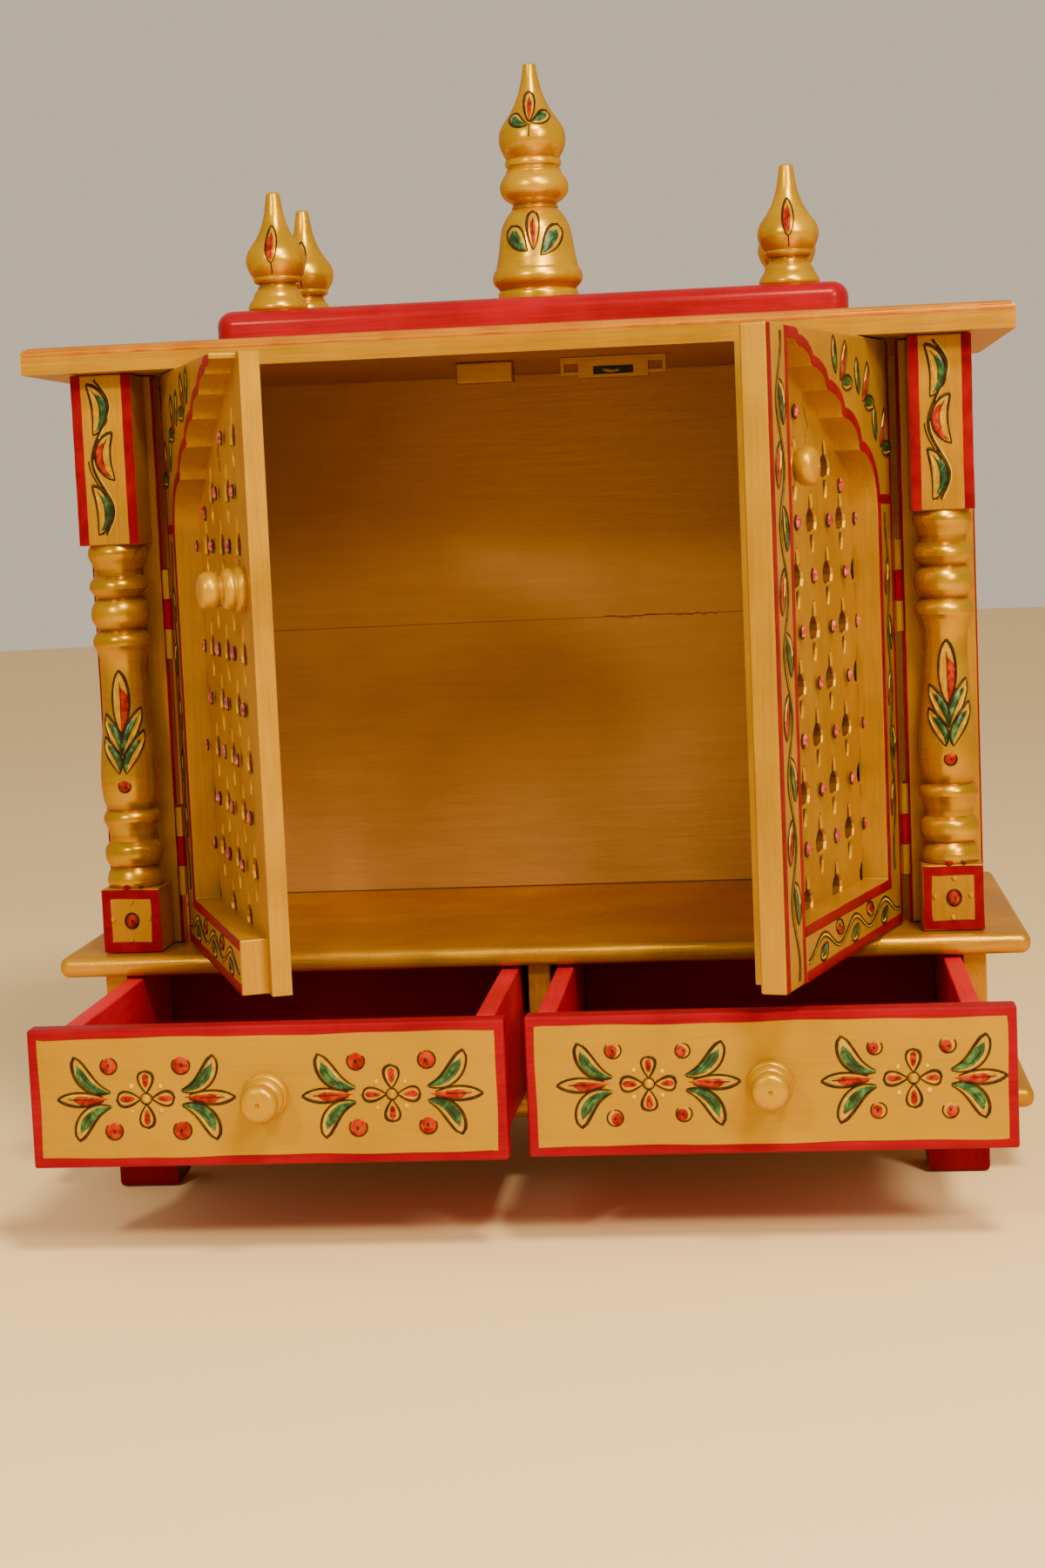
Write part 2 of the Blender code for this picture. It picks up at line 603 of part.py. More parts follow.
# ---- drawers ------------------------------------------------------------------------
def build_drawer(side, parent):
    """A drawer with an overlaid front, built shut and drawn out along -Y."""
    sign = SIDES[side]
    slide = make_empty(f"{side}_drawer_slide", (0, -DRAWER_PULL[side], 0), parent)
    back_of_front = CASE_FRONT - GAP
    front = back_of_front - DRAWER_FRONT_THICK
    low = CASE_LOW + DRAWER_CLEARANCE
    floor_low = low + FLOOR_RISE

    def span(inner, outer):
        return sorted((sign * inner, sign * outer))

    ends = span(DRAWER_FRONT_INNER, DRAWER_FRONT_OUTER)
    board(f"drawer_front_{side}", (ends[0], front, DRAWER_FRONT_LOW),
          (ends[1], back_of_front, DRAWER_FRONT_HIGH), red, slide, chamfer=FRONT_ARRIS)
    box_front = back_of_front + GAP
    box_back = box_front + DRAWER_LENGTH
    for where, inner in (("outer", DRAWER_OUTER - DRAWER_SIDE), ("inner", DRAWER_INNER)):
        ends = span(inner, inner + DRAWER_SIDE)
        board(f"drawer_side_{side}_{where}", (ends[0], box_front, low),
              (ends[1], box_back, DRAWER_FRONT_HIGH), red, slide)
    ends = span(DRAWER_INNER + DRAWER_SIDE + GAP, DRAWER_OUTER - DRAWER_SIDE - GAP)
    back_inner = box_back - DRAWER_SIDE
    board(f"drawer_back_{side}", (ends[0], back_inner, low), (ends[1], box_back, DRAWER_FRONT_HIGH),
          red, slide)
    board(f"drawer_floor_{side}", (ends[0], box_front, floor_low),
          (ends[1], back_inner - GAP, floor_low + DRAWER_FLOOR), red, slide)
    centre = sign * (DRAWER_FRONT_INNER + DRAWER_FRONT_OUTER) / 2
    level = (DRAWER_FRONT_LOW + DRAWER_FRONT_HIGH) / 2
    turned(f"drawer_knob_{side}", knob_profile(), (centre, front - GAP, level), slide, sides=10,
           rotation=(math.pi / 2, 0, 0))


clear_scene()
shrine = make_collection("household_shrine")
cutters = make_collection("cutters")
gold = make_material("gold_paint", (0.72, 0.43, 0.10), 0.38, 0.25)
red = make_material("red_paint", (0.58, 0.03, 0.03), 0.40)
hinge_paint = make_material("painted_hinge", (0.60, 0.22, 0.08), 0.40, 0.2)
steel = make_material("magnet_steel", (0.06, 0.06, 0.06), 0.45, 0.8)

root = make_empty("shrine_origin", (0, -MIDDLE_Y, 0))
build_base(root)
build_cabinet(root)
for door_side in SIDES:
    build_pillar(door_side, root)
    build_door(door_side, root)
    build_drawer(door_side, root)
build_cornice(root)
build_stop_and_catch(root)
build_slab(root)
build_finials(root)
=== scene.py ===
import json
import math
import random

import bmesh
import bpy
from mathutils import Matrix, Vector


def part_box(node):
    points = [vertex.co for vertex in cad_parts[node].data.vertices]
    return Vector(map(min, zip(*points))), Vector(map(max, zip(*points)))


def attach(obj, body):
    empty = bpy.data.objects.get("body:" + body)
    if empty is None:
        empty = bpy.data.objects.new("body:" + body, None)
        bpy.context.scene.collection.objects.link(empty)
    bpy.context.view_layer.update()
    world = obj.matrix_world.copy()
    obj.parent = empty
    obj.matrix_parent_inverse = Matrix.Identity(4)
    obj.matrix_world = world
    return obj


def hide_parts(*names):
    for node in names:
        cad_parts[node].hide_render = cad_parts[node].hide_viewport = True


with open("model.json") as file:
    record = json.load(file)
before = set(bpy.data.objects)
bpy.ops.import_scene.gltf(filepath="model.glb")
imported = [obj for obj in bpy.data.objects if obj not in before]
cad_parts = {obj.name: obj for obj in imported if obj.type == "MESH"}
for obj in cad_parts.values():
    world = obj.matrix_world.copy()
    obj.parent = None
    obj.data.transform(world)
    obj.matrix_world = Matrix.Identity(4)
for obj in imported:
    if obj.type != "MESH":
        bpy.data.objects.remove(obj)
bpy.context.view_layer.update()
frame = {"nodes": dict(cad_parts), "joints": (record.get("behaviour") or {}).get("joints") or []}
mm = 0.001
sides = {"left": -1, "right": 1}


class Wire:
    # one socket of a node tree, so that masks and tones can be written as sums
    def __init__(self, tree, socket=None):
        self.tree = tree
        self.socket = socket

    def node(self, kind, settings=None, sockets=None, out=0):
        made = self.tree.nodes.new(kind)
        for name, value in (settings or {}).items():
            if name == "stops":
                setStops(made.color_ramp, value)
            else:
                setattr(made, name, value)
        for name, value in (sockets or {}).items():
            if isinstance(value, Wire):
                self.tree.links.new(value.socket, made.inputs[name])
            else:
                made.inputs[name].default_value = value
        return Wire(self.tree, made.outputs[out])

    def math(self, operation, first, second=0.0, clamp=False):
        settings = {"operation": operation, "use_clamp": clamp}
        return self.node("ShaderNodeMath", settings, {0: first, 1: second})

    def __add__(self, other):
        return self.math("ADD", self, other)

    __radd__ = __add__

    def __sub__(self, other):
        return self.math("SUBTRACT", self, other)

    def __rsub__(self, other):
        return self.math("SUBTRACT", other, self)

    def __mul__(self, other):
        return self.math("MULTIPLY", self, other)

    __rmul__ = __mul__

    def __truediv__(self, other):
        return self.math("DIVIDE", self, other)

    def __rtruediv__(self, other):
        return self.math("DIVIDE", other, self)

    def does(self, operation, other=0.0):
        return self.math(operation, self, other)

    def other(self, out):
        # another output of the same node
        return Wire(self.tree, self.socket.node.outputs[out])

    def above(self, edge, softness):
        # 0 below the edge, 1 above it
        return self.node("ShaderNodeMapRange", {"interpolation_type": "SMOOTHSTEP"},
                         {"Value": self, "From Min": edge - softness, "From Max": edge + softness})

    def blend(self, first, second):
        # the first colour where this is 0, the second where it is 1
        return self.node("ShaderNodeMix", {"data_type": "RGBA"}, {0: self, 6: first, 7: second}, out=2)

    def ramp(self, *stops):
        return self.node("ShaderNodeValToRGB", {"stops": stops}, {"Fac": self})

    def noise(self, scale, detail, **more):
        # noise read at this place
        sockets = {"Vector": self, "Scale": scale, "Detail": detail, **more}
        return self.node("ShaderNodeTexNoise", None, sockets)

    def stretched(self, scale):
        return self.node("ShaderNodeMapping", None, {"Vector": self, "Scale": scale})

    def relief(self, strength, depth):
        # a bump of this height
        sockets = {"Strength": strength, "Distance": depth, "Height": self}
        return self.node("ShaderNodeBump", None, sockets, out="Normal")

    def spot(self):
        # the X of every point, with its Y and Z as other outputs
        return self.node("ShaderNodeSeparateXYZ", None, {0: self.node("GeometryNodeInputPosition")})

    def vector(self, **parts):
        return self.node("ShaderNodeCombineXYZ", None, parts)


def setStops(ramp, stops):
    while len(ramp.elements) < len(stops):
        ramp.elements.new(0.5)
    for element, (position, colour) in zip(ramp.elements, stops):
        element.position = position
        element.color = (*colour, 1.0)


def plug(material, values):
    # links or sets sockets of the material's shader
    shader = material.node_tree.nodes["Principled BSDF"]
    for name, value in values.items():
        if isinstance(value, Wire):
            material.node_tree.links.new(value.socket, shader.inputs[name])
        else:
            shader.inputs[name].default_value = value


def newFinish(name):
    # a material, and the place on the piece that its patterns read
    material = bpy.data.materials.new(name)
    material.use_nodes = True
    return material, Wire(material.node_tree).node("ShaderNodeTexCoord", out="Object")


goldPaint = {      # shades from deep to light; strokes are long the way the brush went
    "shades": ((0.345, 0.166, 0.001), (0.405, 0.199, 0.001), (0.46, 0.234, 0.001)),
    # the first colour on the next line is painted shade for recesses and hole walls, also used for the fine
    # flecks
    "groove": (0.13, 0.036, 0.002), "sheen": (1.0, 0.5, 0.05), "strokes": (30, 700, 700), "metal": 0.45,
    "rough": 0.40, "coat": 0.0, "shine": 0.5, "blotch": 22, "streak": 0.4, "relief": 0.22, "fleck": 0.45,
}
redPaint = dict(
    goldPaint, shades=((0.18, 0.0008, 0.008), (0.235, 0.0014, 0.010), (0.29, 0.002, 0.012)),
    groove=(0.08, 0.0, 0.0), sheen=(1.0, 0.10, 0.08), metal=0.0, rough=0.5, shine=0.2, relief=0.2, fleck=0.15)
turnedPaint = dict(goldPaint, strokes=(120, 120, 500), blotch=40, streak=0.15, relief=0.12, fleck=0.0)
paintGrain = {"grit": 1100.0, "speckEdge": 0.735, "speckSoft": 0.02, "inGroove": 0.75, "depth": 0.0006}


def paintFinish(name, base=goldPaint, **changes):
    # brushed paint over wood: streaks along the brush, slow blotches, fine grit, and painted shade in the
    # recesses of turnings and on the walls of lattice holes
    look, grain = dict(base, **changes), paintGrain
    material, place = newFinish(name)
    streaks = place.stretched(look["strokes"]).noise(1.0, 5.0, Roughness=0.62)
    blotches = place.noise(look["blotch"], 4.0, Roughness=0.55)
    grit = place.noise(grain["grit"], 2.0)
    tone = streaks * look["streak"] + blotches * (1 - look["streak"])
    colour = tone.ramp(*zip((0.36, 0.50, 0.64), look["shades"]))
    shadeAndFleckColour = (*look["groove"], 1)
    # painted shade: a turning's recesses and the walls of the lattice holes are darkened towards the shade
    # colour
    groove = place.node("ShaderNodeAttribute", {"attribute_name": "groove"}, out="Fac")
    colour = (groove * grain["inGroove"]).blend(colour, shadeAndFleckColour)
    specks = grit.above(grain["speckEdge"], grain["speckSoft"])
    colour = (specks * look["fleck"]).blend(colour, shadeAndFleckColour)
    height = streaks + grit * 0.35 + blotches * 0.8
    plug(material, {
        "Base Color": colour, "Metallic": look["metal"],
        "Normal": height.relief(look["relief"], grain["depth"]),
        "Roughness": (blotches - 0.5) * 0.30 + (streaks - 0.5) * 0.18 + look["rough"],
        "Coat Weight": look["coat"], "Coat Roughness": 0.18, "Specular IOR Level": look["shine"],
        "Specular Tint": (*look["sheen"], 1)})
    return material


along, upright, inward = (26, 620, 620), (620, 620, 26), (620, 26, 620)   # the way the brush went
goldAlong = paintFinish("gold_brushed_along", strokes=along)
goldUpright = paintFinish("gold_brushed_upright", strokes=upright)
goldInward = paintFinish("gold_brushed_inward", strokes=inward)
goldDoor = paintFinish(
    "gold_on_doors", strokes=upright,
    shades=((0.37, 0.192, 0.004), (0.43, 0.230, 0.005), (0.49, 0.270, 0.007)))
# the same turned gold, painted lighter on the finials (painted light on the top) and darker on the pillars
# (painted shade under the cornice)
goldFinialsPaintedLight = paintFinish(
    "gold_on_finials", turnedPaint, groove=(0.32, 0.14, 0.001), rough=0.27, metal=0.68,
    shades=((0.51, 0.280, 0.0003), (0.59, 0.330, 0.0003), (0.69, 0.400, 0.0005)))
goldPillarsPaintedShade = paintFinish(
    "gold_on_pillars", turnedPaint, groove=(0.22, 0.085, 0.002), rough=0.28, metal=0.72,
    shades=((0.41, 0.218, 0.002), (0.48, 0.261, 0.002), (0.57, 0.322, 0.003)))
goldKnob = paintFinish(
    "gold_on_knobs", strokes=(300, 300, 300), groove=(0.32, 0.15, 0.001), rough=0.36, metal=0.5, relief=0.1,
    fleck=0.0, shades=((0.46, 0.254, 0.0002), (0.50, 0.280, 0.0002), (0.55, 0.312, 0.0004)))
goldShelf = paintFinish(
    "gold_on_shelf", strokes=along, rough=0.32, metal=0.6, relief=0.4, fleck=0.6,
    shades=((0.41, 0.200, 0.008), (0.47, 0.235, 0.010), (0.60, 0.315, 0.014)))
goldField = paintFinish(
    "gold_drawer_field", strokes=along, rough=0.5, metal=0.25, shine=0.3, relief=0.15, fleck=0.2,
    shades=((0.38, 0.206, 0.0001), (0.415, 0.228, 0.0001), (0.45, 0.250, 0.0002)))
goldPanel = paintFinish(
    "gold_back_panel", strokes=(22, 260, 260), metal=0.3, relief=0.5, streak=0.34, blotch=9,
    shades=((0.39, 0.192, 0.046), (0.45, 0.226, 0.055), (0.51, 0.260, 0.065)))
goldShadow = paintFinish(
    "gold_in_cracks", metal=0.1, shades=((0.12, 0.045, 0.004), (0.17, 0.065, 0.006), (0.22, 0.09, 0.008)))
redAlong = paintFinish("red_brushed_along", redPaint, strokes=along)
redUpright = paintFinish("red_brushed_upright", redPaint, strokes=upright)
redSlab = paintFinish(
    "red_slab_gloss", redPaint, strokes=along, rough=0.3, coat=0.15, relief=0.5,
    shades=((0.20, 0.0006, 0.005), (0.26, 0.0010, 0.007), (0.32, 0.002, 0.009)))
redDrawer = paintFinish(
    "red_inside_drawers", redPaint, strokes=inward,
    shades=((0.36, 0.0008, 0.012), (0.47, 0.0014, 0.016), (0.56, 0.003, 0.020)))
# the feet's red is darker than the other reds: painted shade under the drawers
redFeetPaintedShade = paintFinish(
    "red_on_feet", redPaint, strokes=upright,
    shades=((0.11, 0.0008, 0.002), (0.14, 0.0012, 0.003), (0.18, 0.002, 0.004)))


def linkPiece(name, mesh):
    piece = bpy.data.objects.new(name, mesh)
    bpy.context.scene.collection.objects.link(piece)
    return piece


def settle(piece):
    # what the modifiers make becomes the piece's own mesh
    made = bpy.data.meshes.new_from_object(piece.evaluated_get(bpy.context.evaluated_depsgraph_get()))
    piece.modifiers.clear()
    piece.data = made


def meshOf(name, bm):
    bmesh.ops.recalc_face_normals(bm, faces=bm.faces)
    mesh = bpy.data.meshes.new(name)
    bm.to_mesh(mesh)
    bm.free()
    return mesh


def addPiece(name, bm, material, body="cabinet", slot="gold_paint", stands=(), rounding=0.0, sharp=40):
    # rounds the corners, in millimetres, softens the shading and sets the piece riding
    mesh = meshOf(name, bm)
    piece = linkPiece(name, mesh)
    mesh.shade_smooth()
    if rounding:
        bevel = piece.modifiers.new("rounding", "BEVEL")
        bevel.width, bevel.segments, bevel.angle_limit = rounding * mm, 3, math.radians(35)
        weighted = piece.modifiers.new("shading", "WEIGHTED_NORMAL")
        weighted.keep_sharp = True
        settle(piece)
    else:
        mesh.set_sharp_from_angle(angle=math.radians(sharp))
    piece.data.materials.clear()
    piece.data.materials.append(material)
    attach(piece, body)
    if stands:
        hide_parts(*stands)


def addBlock(bm, low, high):
    low, high = Vector(low), Vector(high)
    grown = Matrix.Translation((low + high) / 2) @ Matrix.Diagonal((*(high - low), 1))
    bmesh.ops.create_cube(bm, size=1, matrix=grown)


def footMiddle(node):
    # the middle of a node's underside
    low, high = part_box(node)
    return Vector(((low.x + high.x) / 2, (low.y + high.y) / 2, low.z))


def softBoard(node, material, body="cabinet", slot="gold_paint", rounding=0.9):
    # a plain board in its node's own place, with sanded and painted corners
    bm = bmesh.new()
    addBlock(bm, *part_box(node))
    addPiece(node + "_painted", bm, material, body, slot, (node,), rounding)


# boards of the cabinet that stay square: the way the brush went on each
cabinetBoards = {
    "case_back": goldAlong, "case_divider": goldUpright, "case_side_left": goldInward,
    "case_side_right": goldInward, "side_panel_left": goldUpright, "side_panel_right": goldUpright,
    "jamb_left": goldUpright, "jamb_right": goldUpright, "stop_block": goldAlong,
}
drawerBoards = {      # finish and rounding in millimetres
    "drawer_side_{}_inner": (redDrawer, 0.9), "drawer_side_{}_outer": (redDrawer, 0.9),
    "drawer_back_{}": (redAlong, 0.9), "drawer_floor_{}": (redAlong, 0.3), "drawer_front_{}": (redAlong, 1.2),
}
for node, material in cabinetBoards.items():
    softBoard(node, material)
print("cabinet boards")
for side in sides:
    for node, (material, rounding) in drawerBoards.items():
        softBoard(node.format(side), material, f"{side}_drawer", "red_paint", rounding)
print("drawer boards")


nosedBoards = {      # millimetres: rounding of the edges and of the front corners
    "shelf_board": {"name": "shelf_nosed", "finish": goldShelf, "edge": 4.2, "corner": 5.0},
    "base_board": {"name": "base_nosed", "finish": goldAlong, "edge": 4.2, "corner": 5.0},
    "top_slab": {"name": "slab_rounded", "finish": redSlab, "edge": 7.5, "corner": 9.0, "slot": "red_paint",
                 "keepLow": True},
}
hair = 1e-6      # metres; closer than this is the same place


def nosedBoard(node, name, finish, edge, corner, slot="gold_paint", keepLow=False):
    # a board whose front and ends are rounded over, while its back stays square
    low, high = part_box(node)
    bm = bmesh.new()
    addBlock(bm, low, high)

    def rise(line):
        return abs(line.verts[0].co.z - line.verts[1].co.z)
    uprights = [line for line in bm.edges if rise(line) > mm
                and all(v.co.y < low.y + hair for v in line.verts)]
    bmesh.ops.bevel(bm, geom=uprights, offset=corner * mm, segments=6, affect="EDGES", profile=0.5)
    rim = [line for line in bm.edges if rise(line) < hair
           and not all(v.co.y > high.y - hair for v in line.verts)
           and not (keepLow and line.verts[0].co.z < low.z + hair)]
    bmesh.ops.bevel(bm, geom=rim, offset=edge * mm, segments=6, affect="EDGES", profile=0.5)
    addPiece(name, bm, finish, "cabinet", slot, (node,), sharp=60)


for node, board in nosedBoards.items():
    nosedBoard(node, **board)
print("shelf, base and slab")


def recoat(name, material):
    # a node whose shape stays gets its painted finish
    frame["nodes"][name].data.materials.clear()
    frame["nodes"][name].data.materials.append(material)


for name in sorted(frame["nodes"]):
    if name.startswith("foot"):
        recoat(name, redFeetPaintedShade)
    elif name.startswith("hinge"):
        recoat(name, redUpright if "jamb" in name else goldDoor)
recoat("cornice_board", goldAlong)
recoat("back_panel", goldPanel)
recoat("catch_housing", goldAlong)


catchEars = {"post": 2.0, "drop": 8.6, "foot": 1.8, "deep": 4.5, "ear": 8.8, "joined": 0.3}      # millimetres


def addCatchEars():
    # the open brackets at both ends of the magnetic catch, which hold its screws
    low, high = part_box("catch_housing")
    sizes = {key: value * mm for key, value in catchEars.items()}
    front, back = low.y + sizes["joined"], low.y + sizes["deep"]
    foot = high.z - sizes["drop"]
    bm = bmesh.new()
    for end, way in ((low.x, 1), (high.x, -1)):
        post = sorted((end, end + way * sizes["post"]))
        addBlock(bm, (post[0], front, foot), (post[1], back, high.z - sizes["joined"]))
        link = sorted((end, end + way * (sizes["ear"] + sizes["joined"])))
        addBlock(bm, (link[0], front + sizes["joined"], foot), (link[1], back, foot + sizes["foot"]))
    addPiece("catch_ears", bm, goldAlong, rounding=0.3)


addCatchEars()


def magnetMetal():
    # dull dark steel with gold paint dragged over it
    material, place = newFinish("dark_magnet_steel")
    mask = place.stretched((140, 500, 500)).noise(1.0, 5.0).above(0.60, 0.04)
    plug(material, {"Base Color": mask.blend((0.018, 0.016, 0.020, 1), (0.30, 0.15, 0.012, 1)),
                    "Roughness": mask * 0.2 + 0.35, "Metallic": (1.0 - mask) * 0.8})
    return material


recoat("catch_magnet", magnetMetal())


def smoothThrough(points, steps=5):
    # a smooth run through a few (radius, height) points
    ends = [points[0]] + list(points) + [points[-1]]
    run = [points[0]]
    for before, start, stop, after in zip(ends, ends[1:], ends[2:], ends[3:]):
        for step in range(1, steps + 1):
            f = step / steps
            run.append(tuple(0.5 * (2 * b + (c - a) * f + (2 * a - 5 * b + 4 * c - d) * f * f
                                    + (3 * b - a - 3 * c + d) * f ** 3)
                             for a, b, c, d in zip(before, start, stop, after)))
    return run


def outlineOf(runs):
    # every point of a turning; each run goes on from the last point of the run before it
    outline = []
    for run in runs:
        last = outline[-1:]
        outline += smoothThrough(last + run)[len(last):]
    return outline


def ringFaces(rings, around, looped=False):
    # faces between rings of points; the last ring joins the first, or both ends are closed
    faces = []
    for ring in range(rings if looped else rings - 1):
        here, there = ring * around, (ring + 1) % rings * around
        for k in range(around):
            j = (k + 1) % around
            faces.append((here + k, here + j, there + j, there + k))
    if not looped:
        faces += [tuple(range(around)), tuple(range((rings - 1) * around, rings * around))]
    return faces


def addFaces(bm, verts, faces):
    for face in faces:
        bm.faces.new([verts[i] for i in face])


grooveShade = {"reach": 4.5, "full": 2.2}      # millimetres: how near the sides of a recess lie, and the depth at which its painted shade is darkest


def turning(runs, matrix, around=56):
    # rings of vertices up the outline, closed at both ends, with painted shade marked in the recesses
    outline, reach = outlineOf(runs), grooveShade["reach"]
    bm = bmesh.new()
    groove = bm.verts.layers.float.new("groove")
    for radius, height in outline:
        under = max(r for r, h in outline if height - reach < h <= height)
        over = max(r for r, h in outline if height <= h < height + reach)
        # the deeper a ring sits below its neighbours, the more painted shade it gets
        depth = min(1.0, max(0.0, (min(under, over) - radius) / grooveShade["full"]))
        for step in range(around):
            angle = math.tau * step / around
            spot = Vector((radius * math.cos(angle), radius * math.sin(angle), height)) * mm
            bm.verts.new(matrix @ spot)[groove] = depth
    addFaces(bm, list(bm.verts), ringFaces(len(outline), around))
    return bm


# radius and height over the slab, in millimetres; a new run starts at each sharp line
smallFinial = [
    [(14.3, 0), (14.8, 0.9), (14.8, 2.2), (14.0, 4.1), (12.4, 6.6), (11.6, 8.6), (10.2, 10.6), (9.5, 12.1)],
    [(9.0, 12.5), (9.1, 13.1)],
    [(10.8, 13.9), (11.7, 15.2), (11.8, 16.6)],
    [(13.7, 19.6), (14.9, 23.2), (14.9, 26.2), (13.7, 29.8), (11.0, 33.6), (8.6, 37.4), (6.7, 41.6),
     (5.3, 46.0), (4.4, 50.6), (3.8, 54.6), (3.3, 57.4)],
    [(2.4, 58.2), (0.3, 58.3)],
]
tallFinial = [
    [(19.6, 0), (20.4, 1.2), (20.4, 5.6), (19.4, 7.4)],
    [(20.6, 8.8), (22.4, 10.8), (23.0, 13.6), (22.2, 16.8)],
    [(21.6, 17.4), (21.2, 18.0)],
    [(20.0, 23.0), (19.2, 28.0), (18.4, 33.5), (17.4, 38.5), (15.6, 42.6), (13.4, 45.8), (11.6, 47.8)],
    [(11.8, 48.6), (11.4, 49.4)],
    [(11.0, 50.0), (12.0, 51.0)],
    [(14.8, 52.8), (16.8, 55.4), (17.5, 58.6), (17.0, 61.4), (15.6, 63.8), (14.4, 65.6)],
    [(13.9, 66.4), (14.0, 67.2)],
    [(13.2, 68.0), (13.4, 68.8)],
    [(14.2, 69.6), (14.2, 71.8), (13.4, 72.8)],
    [(15.2, 75.8), (16.6, 79.4), (17.0, 83.0), (16.3, 87.2), (13.9, 91.5), (11.1, 95.4), (9.0, 99.0),
     (7.2, 103.0), (5.8, 106.8), (4.9, 110.4), (4.0, 114.4), (3.4, 118.0), (3.2, 119.6)],
    [(2.3, 120.2), (0.3, 120.25)],
]
# radius and height over the shelf
pillarTurning = [
    [(11.8, 30.6), (13.0, 31.6), (13.7, 33.2), (13.7, 35.4)],
    [(12.8, 38.4), (11.4, 40.8)],
    [(12.9, 42.6), (13.9, 45.2), (14.1, 48.0), (13.6, 50.6), (12.2, 52.4), (11.0, 53.4)],
    [(11.4, 56.4), (12.4, 60.0), (13.9, 63.4)],
    [(13.8, 65.6), (12.8, 67.6), (11.4, 68.8)],
    [(13.2, 73.4), (14.1, 81.5), (13.8, 91.0), (12.5, 104.0), (11.0, 117.0), (10.3, 129.0), (10.4, 137.0),
     (11.2, 141.8), (12.5, 145.8), (13.9, 148.5)],
    [(13.9, 151.0), (13.0, 153.2), (10.8, 155.6)],
    [(12.0, 157.4), (13.6, 160.2), (14.1, 163.8), (13.4, 167.0), (12.0, 169.4), (10.8, 170.8)],
    [(12.2, 172.8), (14.3, 175.4)],
    [(14.0, 177.8), (12.8, 180.0), (10.8, 181.8)],
    [(11.0, 184.2), (12.2, 187.2), (13.8, 190.6), (14.0, 193.2), (13.2, 195.4), (12.2, 197.2)],
]
pillarBlocks = {"base": 31.2, "head": 80.4}      # heights in millimetres
finials = {node: tallFinial if "centre" in node else smallFinial
           for node in sorted(frame["nodes"]) if node.startswith("finial")}


def addTurned(node, runs, material):
    bm = turning(runs, Matrix.Translation(footMiddle(node)))
    addPiece(node + "_turned", bm, material, stands=(node,), sharp=28)


def addPillar(node):
    addTurned(node, pillarTurning, goldPillarsPaintedShade)
    low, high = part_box(node)
    for block, height in pillarBlocks.items():
        bottom = low.z if block == "base" else high.z - height * mm
        bm = bmesh.new()
        addBlock(bm, (low.x, low.y, bottom), (high.x, high.y, bottom + height * mm))
        addPiece(f"{node}_{block}", bm, goldUpright, rounding=1.1)


for node, runs in finials.items():
    addTurned(node, runs, goldFinialsPaintedLight)
for side in sides:
    addPillar(f"pillar_{side}")
print("turnings")


doorShape = {      # millimetres from the pin line, and from the door's foot
    "edge": 1.45, "front": -1.8, "frameBack": -14.8, "latticeFront": -13.8, "latticeBack": -22.5,
    "stripBack": -13.5, "frameEnd": 161.35, "latticeEnd": {"left": 168.85, "right": 168.05},
    "strip": (161.65, 189.75), "stile": 25.7, "rail": 24.4, "knob": 150.0,
    "spring": 200.3, "rise": 73.0, "lobes": 6, "crowding": 1.25, "swell": 0.69,      # the scalloped arch
}
pins, swings = {}, {}
for joint in frame["joints"]:
    if joint["type"] == "hinge":
        side = joint["child"].split("_")[0]
        pins[side] = Vector((joint["pos_m"][0], joint["pos_m"][1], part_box(f"door_frame_{side}")[0].z))
        swings[side] = math.radians(-joint["range_deg"][0])
doorHeight = (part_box("door_frame_left")[1].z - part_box("door_frame_left")[0].z) / mm


def onDoor(side, depth=doorShape["front"]):
    # places (distance from the pin, height, lift off the face) of a door, in millimetres
    turn, sign = swings[side], sides[side]
    outwards = Vector((-sign * math.cos(turn), -math.sin(turn), 0))
    facing = Vector((sign * math.sin(turn), -math.cos(turn), 0))

    def place(s, t, h=0.0):
        return pins[side] + (outwards * s + facing * (depth + h) + Vector((0, 0, t))) * mm
    return place


def slabOf(outline, place, thick):
    # an outline given from the front, made a board as thick as asked
    bm = bmesh.new()
    face = bm.faces.new([bm.verts.new(place(s, t)) for s, t in outline])
    grown = bmesh.ops.extrude_face_region(bm, geom=[face])["geom"]
    moved = [v for v in grown if isinstance(v, bmesh.types.BMVert)]
    bmesh.ops.translate(bm, vec=place(0, 0, -thick) - place(0, 0), verts=moved)
    return bm


def archCusps():
    shape, cusps = doorShape, []
    for lobe in range(shape["lobes"] + 1):
        t = 1 - (1 - lobe / shape["lobes"]) ** shape["crowding"]
        cusps.append((shape["stile"] + (shape["frameEnd"] - shape["stile"]) * t,
                      shape["spring"] + shape["rise"] * t ** shape["swell"]))
    return cusps


def archLine(steps=9):
    # the scalloped half-arch: each lobe is a quarter of an ellipse
    cusps = archCusps()
    points = [cusps[0]]
    for (s0, t0), (s1, t1) in zip(cusps, cusps[1:]):
        for step in range(1, steps + 1):
            angle = math.pi / 2 * step / steps
            points.append((s1 - (s1 - s0) * math.cos(angle), t0 + (t1 - t0) * math.sin(angle)))
    return points


